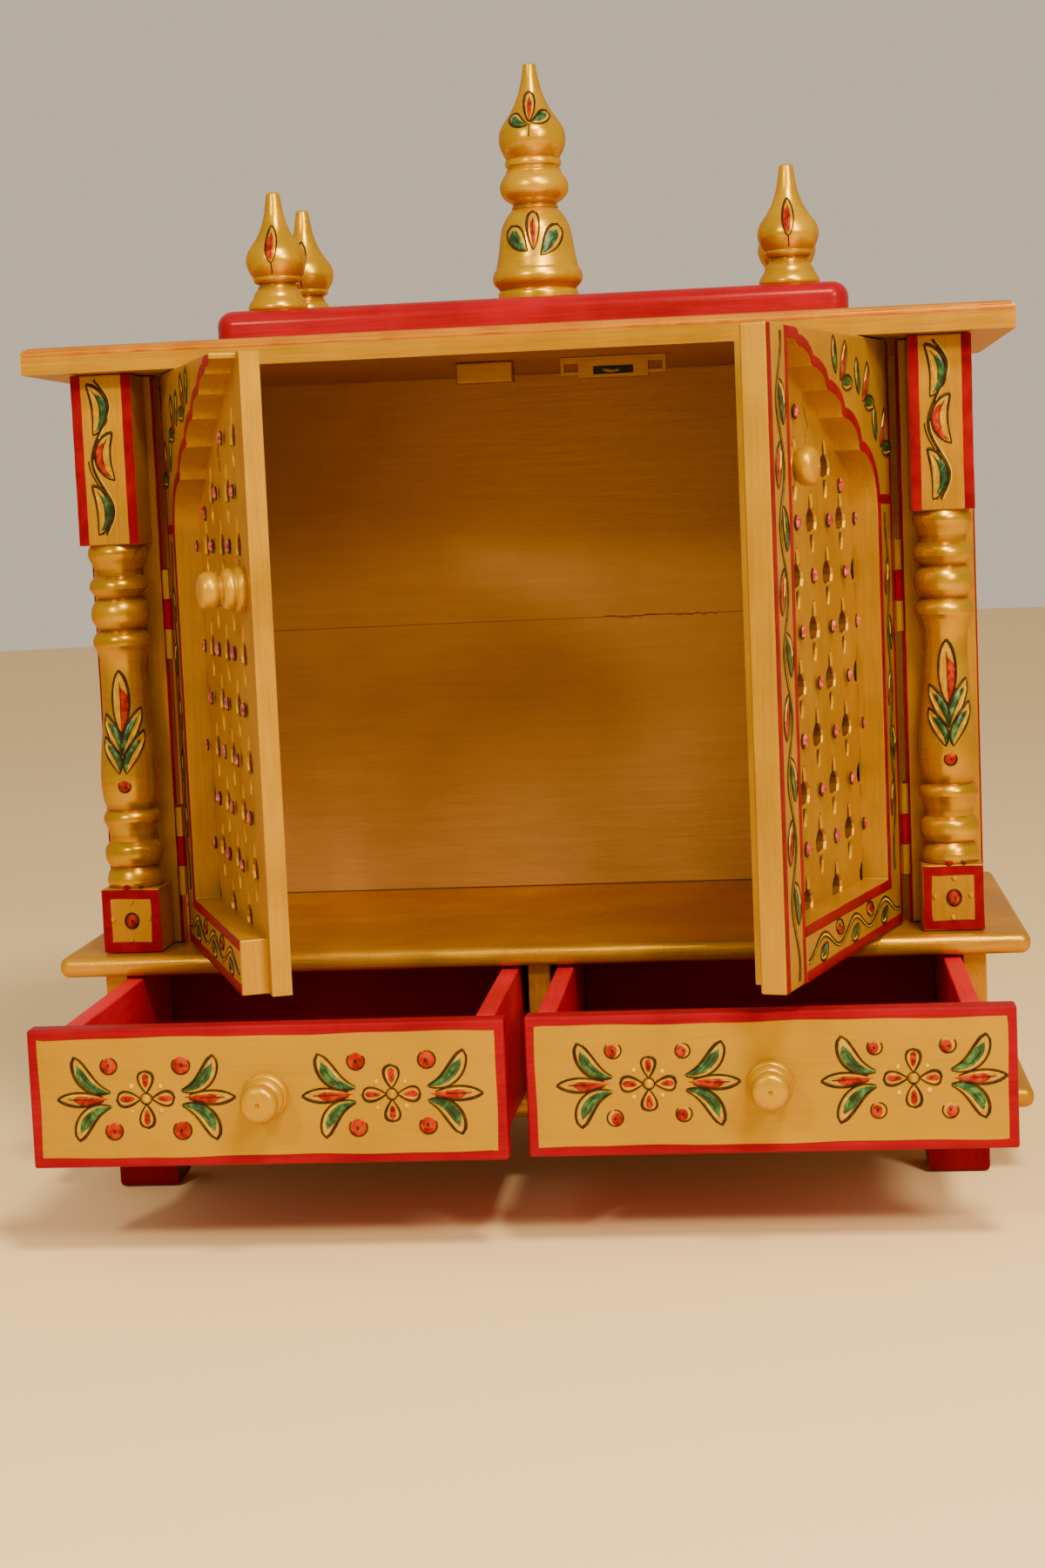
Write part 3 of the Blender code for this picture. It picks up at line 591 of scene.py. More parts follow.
def startTree(name, inputs):
    # a Geometry Nodes tree with its inputs by name; a word instead of a value names the socket's type
    tree = bpy.data.node_groups.new(name, "GeometryNodeTree")
    tree.interface.new_socket("Geometry", in_out="INPUT", socket_type="NodeSocketGeometry")
    kinds = {bool: "Bool", int: "Int", float: "Float"}
    for label, value in inputs.items():
        kind = kinds.get(type(value), value)
        socket = tree.interface.new_socket(label, in_out="INPUT", socket_type=f"NodeSocket{kind}")
        if kind != value:
            socket.default_value = value
    tree.interface.new_socket("Geometry", in_out="OUTPUT", socket_type="NodeSocketGeometry")
    start = tree.nodes.new("NodeGroupInput")
    return tree, {socket.name: Wire(tree, socket) for socket in start.outputs if socket.name}


def endTree(tree, geometry, material):
    real = geometry.node("GeometryNodeRealizeInstances", None, {"Geometry": geometry})
    coated = real.node("GeometryNodeSetMaterial", None, {"Geometry": real, "Material": material})
    end = tree.nodes.new("NodeGroupOutput")
    tree.links.new(coated.socket, end.inputs["Geometry"])


def growMesh(name, mesh, tree, values):
    # runs a tree on a mesh with these inputs and hands back a plain mesh
    carrier = linkPiece(name, mesh)
    grower = carrier.modifiers.new("grow", "NODES")
    grower.node_group = tree
    for item in tree.interface.items_tree:
        if item.in_out == "INPUT" and item.name in values:
            grower[item.identifier] = values[item.name]
    settle(carrier)
    made = carrier.data
    bpy.data.objects.remove(carrier)
    return made


def staggeredTree():
    # copies of a shape on a staggered grid, kept under the arch; they are cut out of the board or stand alone
    door = doorShape
    tree, given = startTree("staggered_under_the_arch", {
        "Shape": "Object", "Columns": 6, "Rows": 6, "Column Pitch": 23.2, "Row Pitch": 47.6,
        "First Column": 24.5, "First Row": 27.2, "Odd Shift": 23.8, "Reach": 14.5, "Lowest": 0.0,
        "Stile": door["stile"], "Span": door["frameEnd"] - door["stile"], "Spring": door["spring"],
        "Rise": door["rise"], "Size": 1.0, "Tilt": 0.03, "Size Spread": 0.03, "Seed": 4, "Cut": True,
        "Material": "Material"})
    wire, pitch = given["Geometry"], given["Column Pitch"]
    height = (given["Rows"] - 1) * given["Row Pitch"]
    grid = wire.node("GeometryNodeMeshGrid", None, {
        "Size X": (given["Columns"] - 1) * pitch, "Size Y": height,
        "Vertices X": given["Columns"], "Vertices Y": given["Rows"]})
    spot = wire.spot()
    column = (spot / pitch + (given["Columns"] - 1) * 0.5).does("ROUND")
    s = column * pitch + given["First Column"]
    t = spot.other("Y") + height * 0.5 + given["First Row"] + column.does("MODULO", 2.0) * given["Odd Shift"]
    placed = wire.node("GeometryNodeSetPosition", None, {"Geometry": grid, "Position": wire.vector(X=s, Z=t)})
    spot = wire.spot()
    level = spot.other("Z")
    share = ((spot - given["Stile"]) / given["Span"]).does("MAXIMUM", 0.0).does("MINIMUM", 1.0)
    arch = share.does("POWER", door["swell"]) * given["Rise"] + given["Spring"]
    tooHigh = (level + given["Reach"]).does("GREATER_THAN", arch)
    outside = tooHigh + level.does("LESS_THAN", given["Lowest"])
    kept = wire.node("GeometryNodeDeleteGeometry", {"domain": "POINT"},
                     {"Geometry": placed, "Selection": outside})
    shape = wire.node("GeometryNodeObjectInfo", None, {"Object": given["Shape"]}, out="Geometry")

    def chance(low, high, seed):
        sockets = {2: low, 3: high, "Seed": seed}
        return wire.node("FunctionNodeRandomValue", {"data_type": "FLOAT"}, sockets, out=1)
    tilt = chance(0.0 - given["Tilt"], given["Tilt"], given["Seed"])
    size = given["Size"] * chance(1.0 - given["Size Spread"], 1.0, given["Seed"] + 1)
    copies = wire.node("GeometryNodeInstanceOnPoints", None, {
        "Points": kept, "Instance": shape, "Rotation": wire.vector(Y=tilt), "Scale": size})
    real = wire.node("GeometryNodeRealizeInstances", None, {"Geometry": copies})
    pierced = wire.node("GeometryNodeMeshBoolean", {"operation": "DIFFERENCE", "solver": "EXACT"},
                        {"Mesh 1": wire, "Mesh 2": real})
    chosen = wire.node("GeometryNodeSwitch", {"input_type": "GEOMETRY"},
                       {"Switch": given["Cut"], "False": real, "True": pierced})
    endTree(tree, chosen, given["Material"])
    return tree


lampHole = {      # half outlines from a hole's middle: a bottle-shaped opening and the drop under it
    "cup": [(0, 12.8), (1.5, 12.2), (2.6, 9.2), (3.0, 5.8), (5.2, 4.4), (7.3, 2.2), (7.8, -0.6), (6.6, -3.4),
            (0, -4.6)],
    "drop": [(0, -6.0), (2.9, -6.2), (3.2, -8.4), (2.5, -11.4), (1.5, -13.8), (0, -14.6)],
    "flare": {"cup": 0.8, "drop": 0.4}, "flareDepth": 1.2, "past": 0.6,      # past the board's faces
}
gem = {      # size and lift of each ring of facets
    "rings": ((1.0, -0.4), (1.0, 0.4), (0.8, 1.3), (0.42, 1.9)), "around": 10, "half": (2.5, 2.9),
    "tip": 0.75,
}
gemSeat = {      # radius and lift round the tube's section
    "tube": ((3.4, -0.3), (3.4, 0.25), (3.0, 0.5), (2.4, 0.4), (2.4, -0.3)), "around": 14,
    "oval": (0.93, 1.06),
}
latticeGrids = {      # millimetres on a door: what differs from the tree's own inputs
    "cup": {}, "drop": {"Lowest": 30.0},
    "top": {"Columns": 1, "Rows": 1, "First Column": 100.0, "First Row": 236.0, "Size": 0.62, "Reach": 4.0},
    "stones": {"First Row": 51.0, "Odd Shift": -23.8, "Reach": 6.5, "Lowest": 40.0, "Cut": False,
               "Tilt": 0.12, "Size Spread": 0.14},
    "highStone": {"Columns": 1, "Rows": 1, "First Column": 48.0, "First Row": 209.0, "Reach": 4.0,
                  "Cut": False},
    "seed": {"left": 3, "right": 8},
}


def grownOutline(points, distance):
    # the outline moved outwards by the same distance all round
    grown = []
    for before, here, after in zip(points[-1:] + points[:-1], points, points[1:] + points[:1]):
        chord = Vector(after) - Vector(before)
        outwards = Vector((-chord.y, chord.x)).normalized()
        grown.append(tuple(Vector(here) + outwards * distance))
    return grown


def looseShape(name, points, faces):
    bm = bmesh.new()
    addFaces(bm, [bm.verts.new(point) for point in points], faces)
    return linkPiece(name, meshOf(name, bm))


def flaredCutter(name):
    # a cutter for one hole: wider towards the face of the board
    half, past = lampHole[name], lampHole["past"]
    outline = [(-s, t) for s, t in half[1:-1]] + half[::-1]
    front, back = -doorShape["latticeFront"], -doorShape["latticeBack"]
    levels = ((front - past, lampHole["flare"][name] * 1.3), (front + lampHole["flareDepth"], 0.0),
              (back + past, 0.0))
    points = [(s, depth, t) for depth, grow in levels for s, t in grownOutline(outline, -grow)]
    return looseShape(name + "_cutter", points, ringFaces(len(levels), len(outline)))


def cutGem():
    # an oval stone with a pointed top: rings of facets round a small table
    (wide, tall), points = gem["half"], []
    for size, lift in gem["rings"]:
        for step in range(gem["around"]):
            angle = math.tau * step / gem["around"] + math.pi / 2
            tip = 0.0 if step else gem["tip"]
            points.append((wide * size * math.cos(angle), -lift - doorShape["latticeFront"],
                           (tall + tip) * size * math.sin(angle)))
    return looseShape("gem_shape", points, ringFaces(len(gem["rings"]), gem["around"]))


def darkSeat():
    # the dark ring that holds a stone
    (wide, tall), points = gemSeat["oval"], []
    for step in range(gemSeat["around"]):
        angle = math.tau * step / gemSeat["around"]
        points += [(r * wide * math.cos(angle), -lift - doorShape["latticeFront"], r * tall * math.sin(angle))
                   for r, lift in gemSeat["tube"]]
    return looseShape("seat_shape", points, ringFaces(gemSeat["around"], len(gemSeat["tube"]), looped=True))


def putOnDoor(meshes, place, shadeHoles=False):
    # meshes drawn in (distance, depth, height), put on their own door as one
    bm = bmesh.new()
    for mesh in meshes:
        bm.from_mesh(mesh)
    if shadeHoles:      # painted shade on the walls of the holes; none on the board's own faces and rim
        groove = bm.faces.layers.float.new("groove")
        reach = max(vert.co.x for vert in bm.verts)
        for face in bm.faces:
            middle, normal = face.calc_center_median(), face.normal
            flat = max(abs(part) for part in normal) > 0.999
            atRim = (abs(normal.y) > 0.2 or middle.x < doorShape["edge"] + 0.1 or middle.x > reach - 0.1
                     or middle.z < 0.1 or middle.z > doorHeight - 0.1)
            face[groove] = 0.0 if atRim or (flat and abs(normal.y) > 0.9) else 1.1
    for vert in bm.verts:
        vert.co = place(vert.co.x, vert.co.z, -vert.co.y)
    return bm


def paintedStone():
    # glassy pink-red stones, paler where the light pools
    material, place = newFinish("pink_red_stone")
    cloud = place.noise(420.0, 2.0)
    colour = cloud.ramp(
        (0.35, (0.22, 0.004, 0.010)), (0.52, (0.44, 0.020, 0.028)), (0.72, (0.72, 0.20, 0.14)))
    plug(material, {"Base Color": colour, "Roughness": (cloud - 0.5) * 0.2 + 0.14, "Coat Weight": 0.8,
                    "Coat Roughness": 0.05})
    return material


def enamel(name, *shades, rough=0.3, metal=0.0, scale=260.0, sheen=(1, 1, 1), coat=0.06):
    # a thick brushed dab of colour that dried glossy, streaked along its length
    material, place = newFinish(name)
    streaks = place.noise(scale, 4.0, Distortion=0.6)
    plug(material, {
        "Base Color": streaks.ramp(*zip((0.36, 0.5, 0.66), shades)), "Metallic": metal,
        "Roughness": (streaks - 0.5) * 0.3 + rough, "Normal": streaks.relief(0.25, 0.0004),
        "Coat Weight": coat, "Coat Roughness": 0.12, "Specular IOR Level": 0.35,
        "Specular Tint": (*sheen, 1)})
    return material


stone = paintedStone()
colours = {
    "outline": enamel("dark_olive_line", (0.008, 0.004, 0.001), (0.018, 0.009, 0.002), (0.045, 0.022, 0.004),
                      rough=0.5, sheen=(1.0, 0.65, 0.3), coat=0.0),
    "green": enamel("leaf_green", (0.004, 0.030, 0.006), (0.010, 0.070, 0.016), (0.060, 0.19, 0.050),
                    rough=0.34),
    "red": enamel("petal_red", (0.14, 0.002, 0.0005), (0.30, 0.008, 0.0005), (0.42, 0.035, 0.001),
                  rough=0.45, sheen=(1.0, 0.3, 0.15)),
    "line": enamel("border_red", (0.15, 0.0006, 0.004), (0.19, 0.001, 0.005), (0.23, 0.0015, 0.006),
                   rough=0.6, scale=90.0, sheen=(1.0, 0.06, 0.04), coat=0.0),
    "rim": enamel("orange_red_rim", (0.34, 0.075, 0.003), (0.42, 0.110, 0.004), (0.48, 0.160, 0.006),
                  rough=0.5, scale=60.0, sheen=(1.0, 0.3, 0.1)),
    "cream": enamel("cream_touch", (0.52, 0.33, 0.003), (0.62, 0.42, 0.006), (0.74, 0.54, 0.03),
                    rough=0.4, metal=0.1, sheen=(1.0, 0.7, 0.3)),
    "gold": enamel("gold_touch", (0.40, 0.208, 0.001), (0.47, 0.250, 0.001), (0.58, 0.325, 0.003),
                   metal=0.3, sheen=(1.0, 0.5, 0.05)),
    "field": goldField, "plain": goldUpright, "seam": goldShadow,
}


def addLattices():
    tree, grids = staggeredTree(), latticeGrids
    shapes = {"cup": flaredCutter("cup"), "drop": flaredCutter("drop"), "gem": cutGem(), "seat": darkSeat()}
    for side, seed in grids["seed"].items():
        place, body, door = onDoor(side, 0.0), f"{side}_door", doorShape
        bm = bmesh.new()
        addBlock(bm, (door["edge"], -door["latticeFront"], 0),
                 (door["latticeEnd"][side], -door["latticeBack"], doorHeight))
        board = meshOf("lattice", bm)
        for shape, grid in (("cup", "cup"), ("drop", "drop"), ("cup", "top"), ("drop", "top")):
            inputs = dict(grids[grid], Shape=shapes[shape], Material=goldDoor, Seed=seed)
            board = growMesh("lattice", board, tree, inputs)
        addPiece(f"lattice_{side}_pierced", putOnDoor([board], place, shadeHoles=True), goldDoor, body,
                 stands=(f"lattice_{side}",), sharp=14)
        for shape, material in (("gem", stone), ("seat", colours["outline"])):
            made = []
            for grid in (dict(grids["stones"], Seed=seed), grids["highStone"]):
                inputs = dict(grid, Shape=shapes[shape], Material=material)
                made.append(growMesh("stones", bpy.data.meshes.new("blank"), tree, inputs))
            addPiece(f"lattice_{shape}s_{side}", putOnDoor(made, place), material, body, sharp=20)
    for shape in shapes.values():
        bpy.data.objects.remove(shape)


def addDoorFrames():
    shape, high = doorShape, doorHeight
    for side in sides:
        place, end = onDoor(side), shape["frameEnd"]
        outline = [(shape["edge"], 0), (end, 0), (end, shape["rail"]), (shape["stile"], shape["rail"])]
        outline += archLine() + [(end, high), (shape["edge"], high)]
        addPiece(f"door_frame_{side}_scalloped", slabOf(outline, place, shape["front"] - shape["frameBack"]),
                 goldDoor, f"{side}_door", stands=(f"door_frame_{side}",), rounding=0.7)
    near, far = shape["strip"]
    outline = [(near, 0), (far, 0), (far, high), (near, high)]
    addPiece("meeting_strip_painted", slabOf(outline, place, shape["front"] - shape["stripBack"]), goldDoor,
             "right_door", stands=("meeting_strip",), rounding=1.2)


# radius and height over the board that the knob is fixed to
knobTurning = [
    [(9.4, -0.3), (10.0, 1.0), (10.1, 2.4), (9.4, 3.7)],
    [(8.6, 4.3), (8.7, 4.9)],
    [(9.2, 6.0), (9.1, 7.6), (8.0, 9.2), (6.8, 10.0)],
    [(6.2, 10.8), (6.5, 11.6)],
    [(7.7, 12.8), (8.3, 14.8), (8.2, 16.8), (7.4, 18.6), (6.2, 19.6)],
    [(4.0, 20.2), (1.0, 20.5)],
    [(0.7, 20.0), (0.2, 19.8)],
]


def addKnobs():
    for side in sides:
        low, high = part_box(f"drawer_knob_{side}")
        seat = Matrix.Translation(((low.x + high.x) / 2, high.y, (low.z + high.z) / 2))
        place = onDoor(side, doorShape["latticeFront"])
        foot = place(doorShape["knob"], 0)
        low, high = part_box(f"door_knob_{side}")
        foot.z = (low.z + high.z) / 2
        facing = (place(0, 0, 1) - place(0, 0)).normalized().to_track_quat("Z", "Y")
        seats = {"drawer": seat @ Matrix.Rotation(math.pi / 2, 4, "X"),
                 "door": Matrix.Translation(foot) @ facing.to_matrix().to_4x4()}
        for owner, seat in seats.items():
            node = f"{owner}_knob_{side}"
            bm = turning(knobTurning, seat, 40)
            addPiece(node + "_turned", bm, goldKnob, f"{side}_{owner}", stands=(node,), sharp=50)


addLattices()
addDoorFrames()
addKnobs()
print("doors and knobs")


brushwork = {}      # points and faces of all dabs, by body and colour


def bezier(a, b, c, d):
    # a curved line from a to d, pulled towards b and c
    a, b, c, d = (Vector(p) for p in (a, b, c, d))

    def at(f):
        g = 1 - f
        return a * g ** 3 + b * 3 * g * g * f + c * 3 * g * f * f + d * f ** 3
    return at


def beside(curve, offset):
    # the line that keeps this distance to the left of a curve
    def at(f):
        ahead = curve(min(f + 0.01, 1)) - curve(max(f - 0.01, 0))
        return curve(f) + Vector((-ahead.y, ahead.x)).normalized() * offset(f)
    return at


def dome(x):
    # half a circle over 0 to 1
    return max(0.0, 1 - (2 * x - 1) ** 2) ** 0.5


def lay(body, colour, points, faces):
    # adds one mark to a body's paint of this colour
    allPoints, allFaces = brushwork.setdefault((body, colour), ([], []))
    first = len(allPoints)
    allPoints += points
    allFaces += [tuple(first + i for i in face) for face in faces]


dabStyle = {"narrowest": 0.06, "under": 0.3, "tip": 0.15}      # millimetres; how high its tips still are


def dab(body, colour, place, curve, low, high, height, start=0.0, stop=1.0, steps=12, across=4):
    # one raised brush mark between two distances from a curve: domed above, flat below
    lowEdge, highEdge, points = beside(curve, low), beside(curve, high), []
    for step in range(steps + 1):
        share = step / steps
        f = start + (stop - start) * share
        a, b = lowEdge(f), highEdge(f)
        if (b - a).length < dabStyle["narrowest"]:
            b = a + Vector((dabStyle["narrowest"], 0.0))
        ends = min(1.0, dabStyle["tip"] + 7 * share * (1 - share)) ** 0.5
        for k in range(across + 1):
            spot = a.lerp(b, k / across)
            points.append(place(spot.x, spot.y, height * ends * dome(k / across)))
        points += [place(spot.x, spot.y, -dabStyle["under"]) for spot in (b, a)]
    lay(body, colour, points, ringFaces(steps + 1, across + 3))


def stroke(body, colour, place, curve, half, height, *run):
    # a mark as wide on both sides of its curve; half its width is one number, or changes along it
    reach = half if callable(half) else lambda f: half
    dab(body, colour, place, curve, lambda f: -reach(f), reach, height, *run)


def bead(body, colour, place, s, t, radius, height, tall=1.0):
    # a round or oval drop of paint
    up = radius * tall
    curve = bezier((s, t - up), (s, t - up / 3), (s, t + up / 3), (s, t + up))
    stroke(body, colour, place, curve, lambda f: radius * dome(f), height, 0.015, 0.985, 8)


def loop(body, colour, place, s, t, radius, width, height=0.45, tall=1.0, start=0.0, stop=1.0):
    # a ring drawn round a middle
    def circle(f):
        angle = math.tau * f + 2.0
        return Vector((s + radius * math.cos(angle), t + radius * tall * math.sin(angle)))
    stroke(body, colour, place, circle, width / 2, height, start, stop, 16, 3)


leafStyle = {      # millimetres, and shares of half a leaf's width that the colour takes on its two sides
    "line": 1.15, "lineHeight": 0.62, "fillHeight": 0.45, "touchHeight": 0.66, "inset": 0.86, "far": 0.62,
    "core": False, "coreHalf": 0.56, "touch": True, "gap": 0.0,
}
leafKinds = {      # where it is widest, how blunt its tip is, and where its vein and its colour run
    "petal": {"peak": 0.66, "blunt": 0.5, "vein": (0.36, 0.56), "span": (0.22, 0.92), "core": True,
              "touch": False},
    "spike": {"peak": 0.56, "blunt": 0.85, "vein": (0.25, 0.8), "span": (0.0, 0.72), "gap": 0.1},
    "curl": {"peak": 0.62, "blunt": 0.6, "vein": (0.3, 0.74), "span": (0.0, 0.88), "gap": 0.04},
    "block": {"peak": 0.5, "blunt": 0.75, "vein": (0.3, 0.86), "span": (0.06, 0.8), "far": 0.12},
    "vaseBud": {"peak": 0.52, "blunt": 0.75, "vein": (0.18, 0.82), "span": (0.0, 0.74), "far": 0.2},
    "vase": {"peak": 0.52, "blunt": 0.7, "vein": (0.2, 0.8), "span": (0.0, 0.82), "line": 1.1, "far": 0.2},
    "vine": {"peak": 0.5, "blunt": 0.7, "vein": (0.3, 0.75), "span": (0.02, 0.86), "line": 0.85},
    "sprig": {"peak": 0.5, "blunt": 0.75, "vein": None, "span": (0.02, 0.86), "line": 0.9},
    "finial": {"peak": 0.5, "blunt": 0.75, "vein": (0.15, 0.85), "span": (0.08, 0.85), "line": 0.9},
    "finialBud": {"peak": 0.62, "blunt": 0.55, "vein": (0.3, 0.82), "span": (0.05, 0.8), "core": True},
    "broad": {"peak": 0.66, "blunt": 0.5, "vein": (0.3, 0.6), "span": (0.05, 0.86)},
}


def leaf(body, place, curve, width, fill, kind, side=1, **changes):
    # a leaf or petal: gold inside, colour on one side (1 is left of its curve) or down its core, a dark line
    # round it and a vein
    look = {**leafStyle, **leafKinds[kind], **changes}
    peak, blunt, line = look["peak"], look["blunt"], look["line"]
    slope = peak * blunt / (1 - peak)      # puts the widest place at the peak
    widest = peak ** slope * (1 - peak) ** blunt

    def half(f):
        f = min(max(f, 0.0), 1.0)
        return width / 2 * (f ** slope * (1 - f) ** blunt) / widest

    def ends(f):
        share = (f - look["span"][0]) / (look["span"][1] - look["span"][0])
        return max(0.0, min(1.0, 7 * share, 5 * (1 - share))) ** 0.5
    stroke(body, "gold", place, curve, lambda f: half(f) * 0.95, look["fillHeight"] * 0.45, 0.03, 0.97)
    near, away = (look["coreHalf"],) * 2 if look["core"] else (look["inset"], look["far"])
    low, high = (away, near) if side > 0 else (near, away)
    dab(body, fill, place, curve, lambda f: -half(f) * low * ends(f), lambda f: half(f) * high * ends(f),
        look["fillHeight"], *look["span"])
    for sign in (-1, 1):
        edge = beside(curve, lambda f: sign * half(f))
        thick = line * (1.2 if sign == side else 0.85)
        stroke(body, "outline", place, edge, lambda f: thick * (0.35 + 0.3 * f), look["lineHeight"],
               look["gap"], 1.0, 14, 3)
    if look["vein"]:
        stroke(body, "outline", place, curve, line * 0.3, look["touchHeight"], *look["vein"], 8, 3)
    if look["touch"]:
        gleam = beside(curve, lambda f: -side * half(f) * 0.62)
        stroke(body, "cream", place, gleam, line * 0.3, look["touchHeight"], 0.42, 0.86, 7, 3)


def bowed(foot, tip, bow, shares=(0.35, 0.7)):
    # a line from foot to tip that swings out by the bow between them
    foot, tip, bow = Vector(foot), Vector(tip), Vector(bow)
    return bezier(foot, *(foot.lerp(tip, share) + bow for share in shares), tip)


def lineTree():
    # a brushed line: an even path that wavers, with a flat oval section of its own width
    tree, given = startTree("brushed_line", {
        "Width": 4.0, "Height": 0.4, "Waver": 0.5, "Waver Size": 14.0, "Swell": 0.3, "Step": 1.5, "Seed": 1.0,
        "Material": "Material"})
    wire = given["Geometry"]
    spot = wire.node("GeometryNodeInputPosition")

    def drift(seed, detail, out=0):
        sockets = {"Vector": spot, "W": seed, "Scale": 1.0 / given["Waver Size"], "Detail": detail}
        return wire.node("ShaderNodeTexNoise", {"noise_dimensions": "4D"}, sockets, out)

    def moving(operation, sockets):
        return wire.node("ShaderNodeVectorMath", {"operation": operation}, sockets)
    path = wire.node("GeometryNodeMeshToCurve", None, {"Mesh": wire})
    even = wire.node("GeometryNodeResampleCurve", {"mode": "LENGTH"},
                     {"Curve": path, "Length": given["Step"]})
    centred = moving("SUBTRACT", {0: drift(given["Seed"], 1.0, 1), 1: (0.5, 0.5, 0.5)})
    flat = moving("MULTIPLY", {0: centred, 1: (1, 1, 0)})
    moved = moving("SCALE", {0: flat, "Scale": given["Waver"] * 2})
    wavered = wire.node("GeometryNodeSetPosition", None, {"Geometry": even, "Offset": moved})
    swell = (drift(given["Seed"] + 7.0, 2.0) - 0.5) * given["Swell"] * 2 + 1.0
    sized = wire.node("GeometryNodeSetCurveRadius", None, {"Curve": wavered, "Radius": swell})
    level = wire.node("GeometryNodeSetCurveNormal", {"mode": "Z_UP"}, {"Curve": sized})
    circle = wire.node("GeometryNodeCurvePrimitiveCircle", None, {"Resolution": 10, "Radius": 1.0})
    oval = wire.node("GeometryNodeTransform", None, {
        "Geometry": circle, "Scale": wire.vector(X=given["Width"] * 0.5, Y=given["Height"], Z=1.0)})
    tube = wire.node("GeometryNodeCurveToMesh", None,
                     {"Curve": level, "Profile Curve": oval, "Fill Caps": True})
    endTree(tree, tube, given["Material"])
    return tree


brushedLine = lineTree()


def brushLine(body, colour, place, path, width, height=0.35, waver=0.35, swell=0.18, size=14.0, step=1.6,
              seed=1.0):
    # draws a path of (s, t) points with the brush and lays it on a surface
    blank = bpy.data.meshes.new("path")
    blank.from_pydata([(s, t, 0) for s, t in path], [(i, i + 1) for i in range(len(path) - 1)], [])
    made = growMesh("line", blank, brushedLine, {
        "Width": width, "Height": height, "Waver": waver, "Waver Size": size, "Swell": swell, "Step": step,
        "Seed": float(seed), "Material": colours[colour]})
    lay(body, colour, [place(*vert.co) for vert in made.vertices], [face.vertices for face in made.polygons])


def onFront(x, y, z):
    # places (right, up, forward) millimetres from a point of a face that looks along -Y
    def place(s, t, h=0.0):
        return Vector((x + s * mm, y - h * mm, z + t * mm))
    return place


def roundTurning(foot, runs):
    # places (round to the right, up, off the surface) on a turning, from its front line
    outline = outlineOf(runs)

    def radiusAt(height):
        for (r0, h0), (r1, h1) in zip(outline, outline[1:]):
            if h0 <= height <= h1 and h1 > h0:
                return r0 + (r1 - r0) * (height - h0) / (h1 - h0)
        return outline[-1][0]

    def place(s, t, h=0.0):
        radius = radiusAt(t)
        angle, reach = s / max(radius, 1.0), radius + h
        return foot + Vector((reach * math.sin(angle), -reach * math.cos(angle), t)) * mm
    return place


fieldEdge = {"point": 3.0, "slow": (0.28, 17), "quick": (0.14, 6.3), "shrink": 0.996}      # millimetres


def wavyField(body, colour, place, half, height, seed):
    # a painted panel with a wavering edge
    rng, edge, outline = random.Random(seed), fieldEdge, []
    corners = [Vector((half[0] * s, half[1] * t)) for s, t in ((-1, -1), (1, -1), (1, 1), (-1, 1))]
    for start, stop in zip(corners, corners[1:] + corners[:1]):
        length = (stop - start).length
        count = max(8, int(length / edge["point"]))
        outwards = Vector(((stop - start).y, -(stop - start).x)).normalized()
        phase, slow = rng.uniform(0, math.tau), rng.uniform(0, math.tau)
        for i in range(count):
            run = length * i / count
            drift = (edge["slow"][0] * math.sin(run / edge["slow"][1] + slow)
                     + edge["quick"][0] * math.sin(run / edge["quick"][1] + phase))
            outline.append(start.lerp(stop, i / count) + outwards * drift)
    levels = ((1.0, -0.2), (1.0, height * 0.4), (edge["shrink"], height))
    points = [place(spot.x * shrink, spot.y * shrink, lift) for shrink, lift in levels for spot in outline]
    lay(body, colour, points, ringFaces(len(levels), len(outline)))


drawerMotif = {      # millimetres from the middle of the flower
    "at": {"left": ((-52.8, -0.4), (55.1, -0.6)), "right": ((-51.8, 0.6), (60.6, 0.6))}, "border": 4.3,
    "petal": (3.2, 12.2, 6.4), "spike": (16.6, 39.5, 6.2), "speck": (6.2, 5.6, 1.1), "heart": (2.1, 1.2),
    "heartRing": (2.5, 0.7),
    "leaf": ((14.8, 3.2), (23.6, 3.4), (28.4, 9.0), (30.6, 18.4)), "leafWidth": 7.2,
    "dot": (15.2, 14.2), "dotSize": {"left": 3.8, "right": 3.3}, "fullDots": "left",
    "seed": {"left": 5, "right": 9}, "flowerSeed": {"left": 33, "right": 31},
}


def paintDrawers():
    motif = drawerMotif
    for side in sides:
        low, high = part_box(f"drawer_front_{side}")
        middle, half = (low + high) / 2, (high - low) / 2 / mm
        body = f"{side}_drawer"
        half = (half.x - motif["border"], half.z - motif["border"])
        wavyField(body, "field", onFront(middle.x, low.y, middle.z), half, 0.3, motif["seed"][side])
        for number, (across, up) in enumerate(motif["at"][side]):
            place = onFront(middle.x + across * mm, low.y - 0.22 * mm, middle.z + up * mm)
            paintFlower(body, side, place, random.Random(motif["flowerSeed"][side] + number))


dotStyle = {      # millimetres, and shares of the dot's radius
    "height": 0.55, "goldHeight": 0.3, "redHeight": 0.66, "redSize": 0.84, "redShift": (0.5, 0.3),
    "ring": (1.02, 0.8, 0.5), "widestGap": 0.25, "heart": 0.27, "heartHeight": 0.82, "heartDrift": 0.4,
}


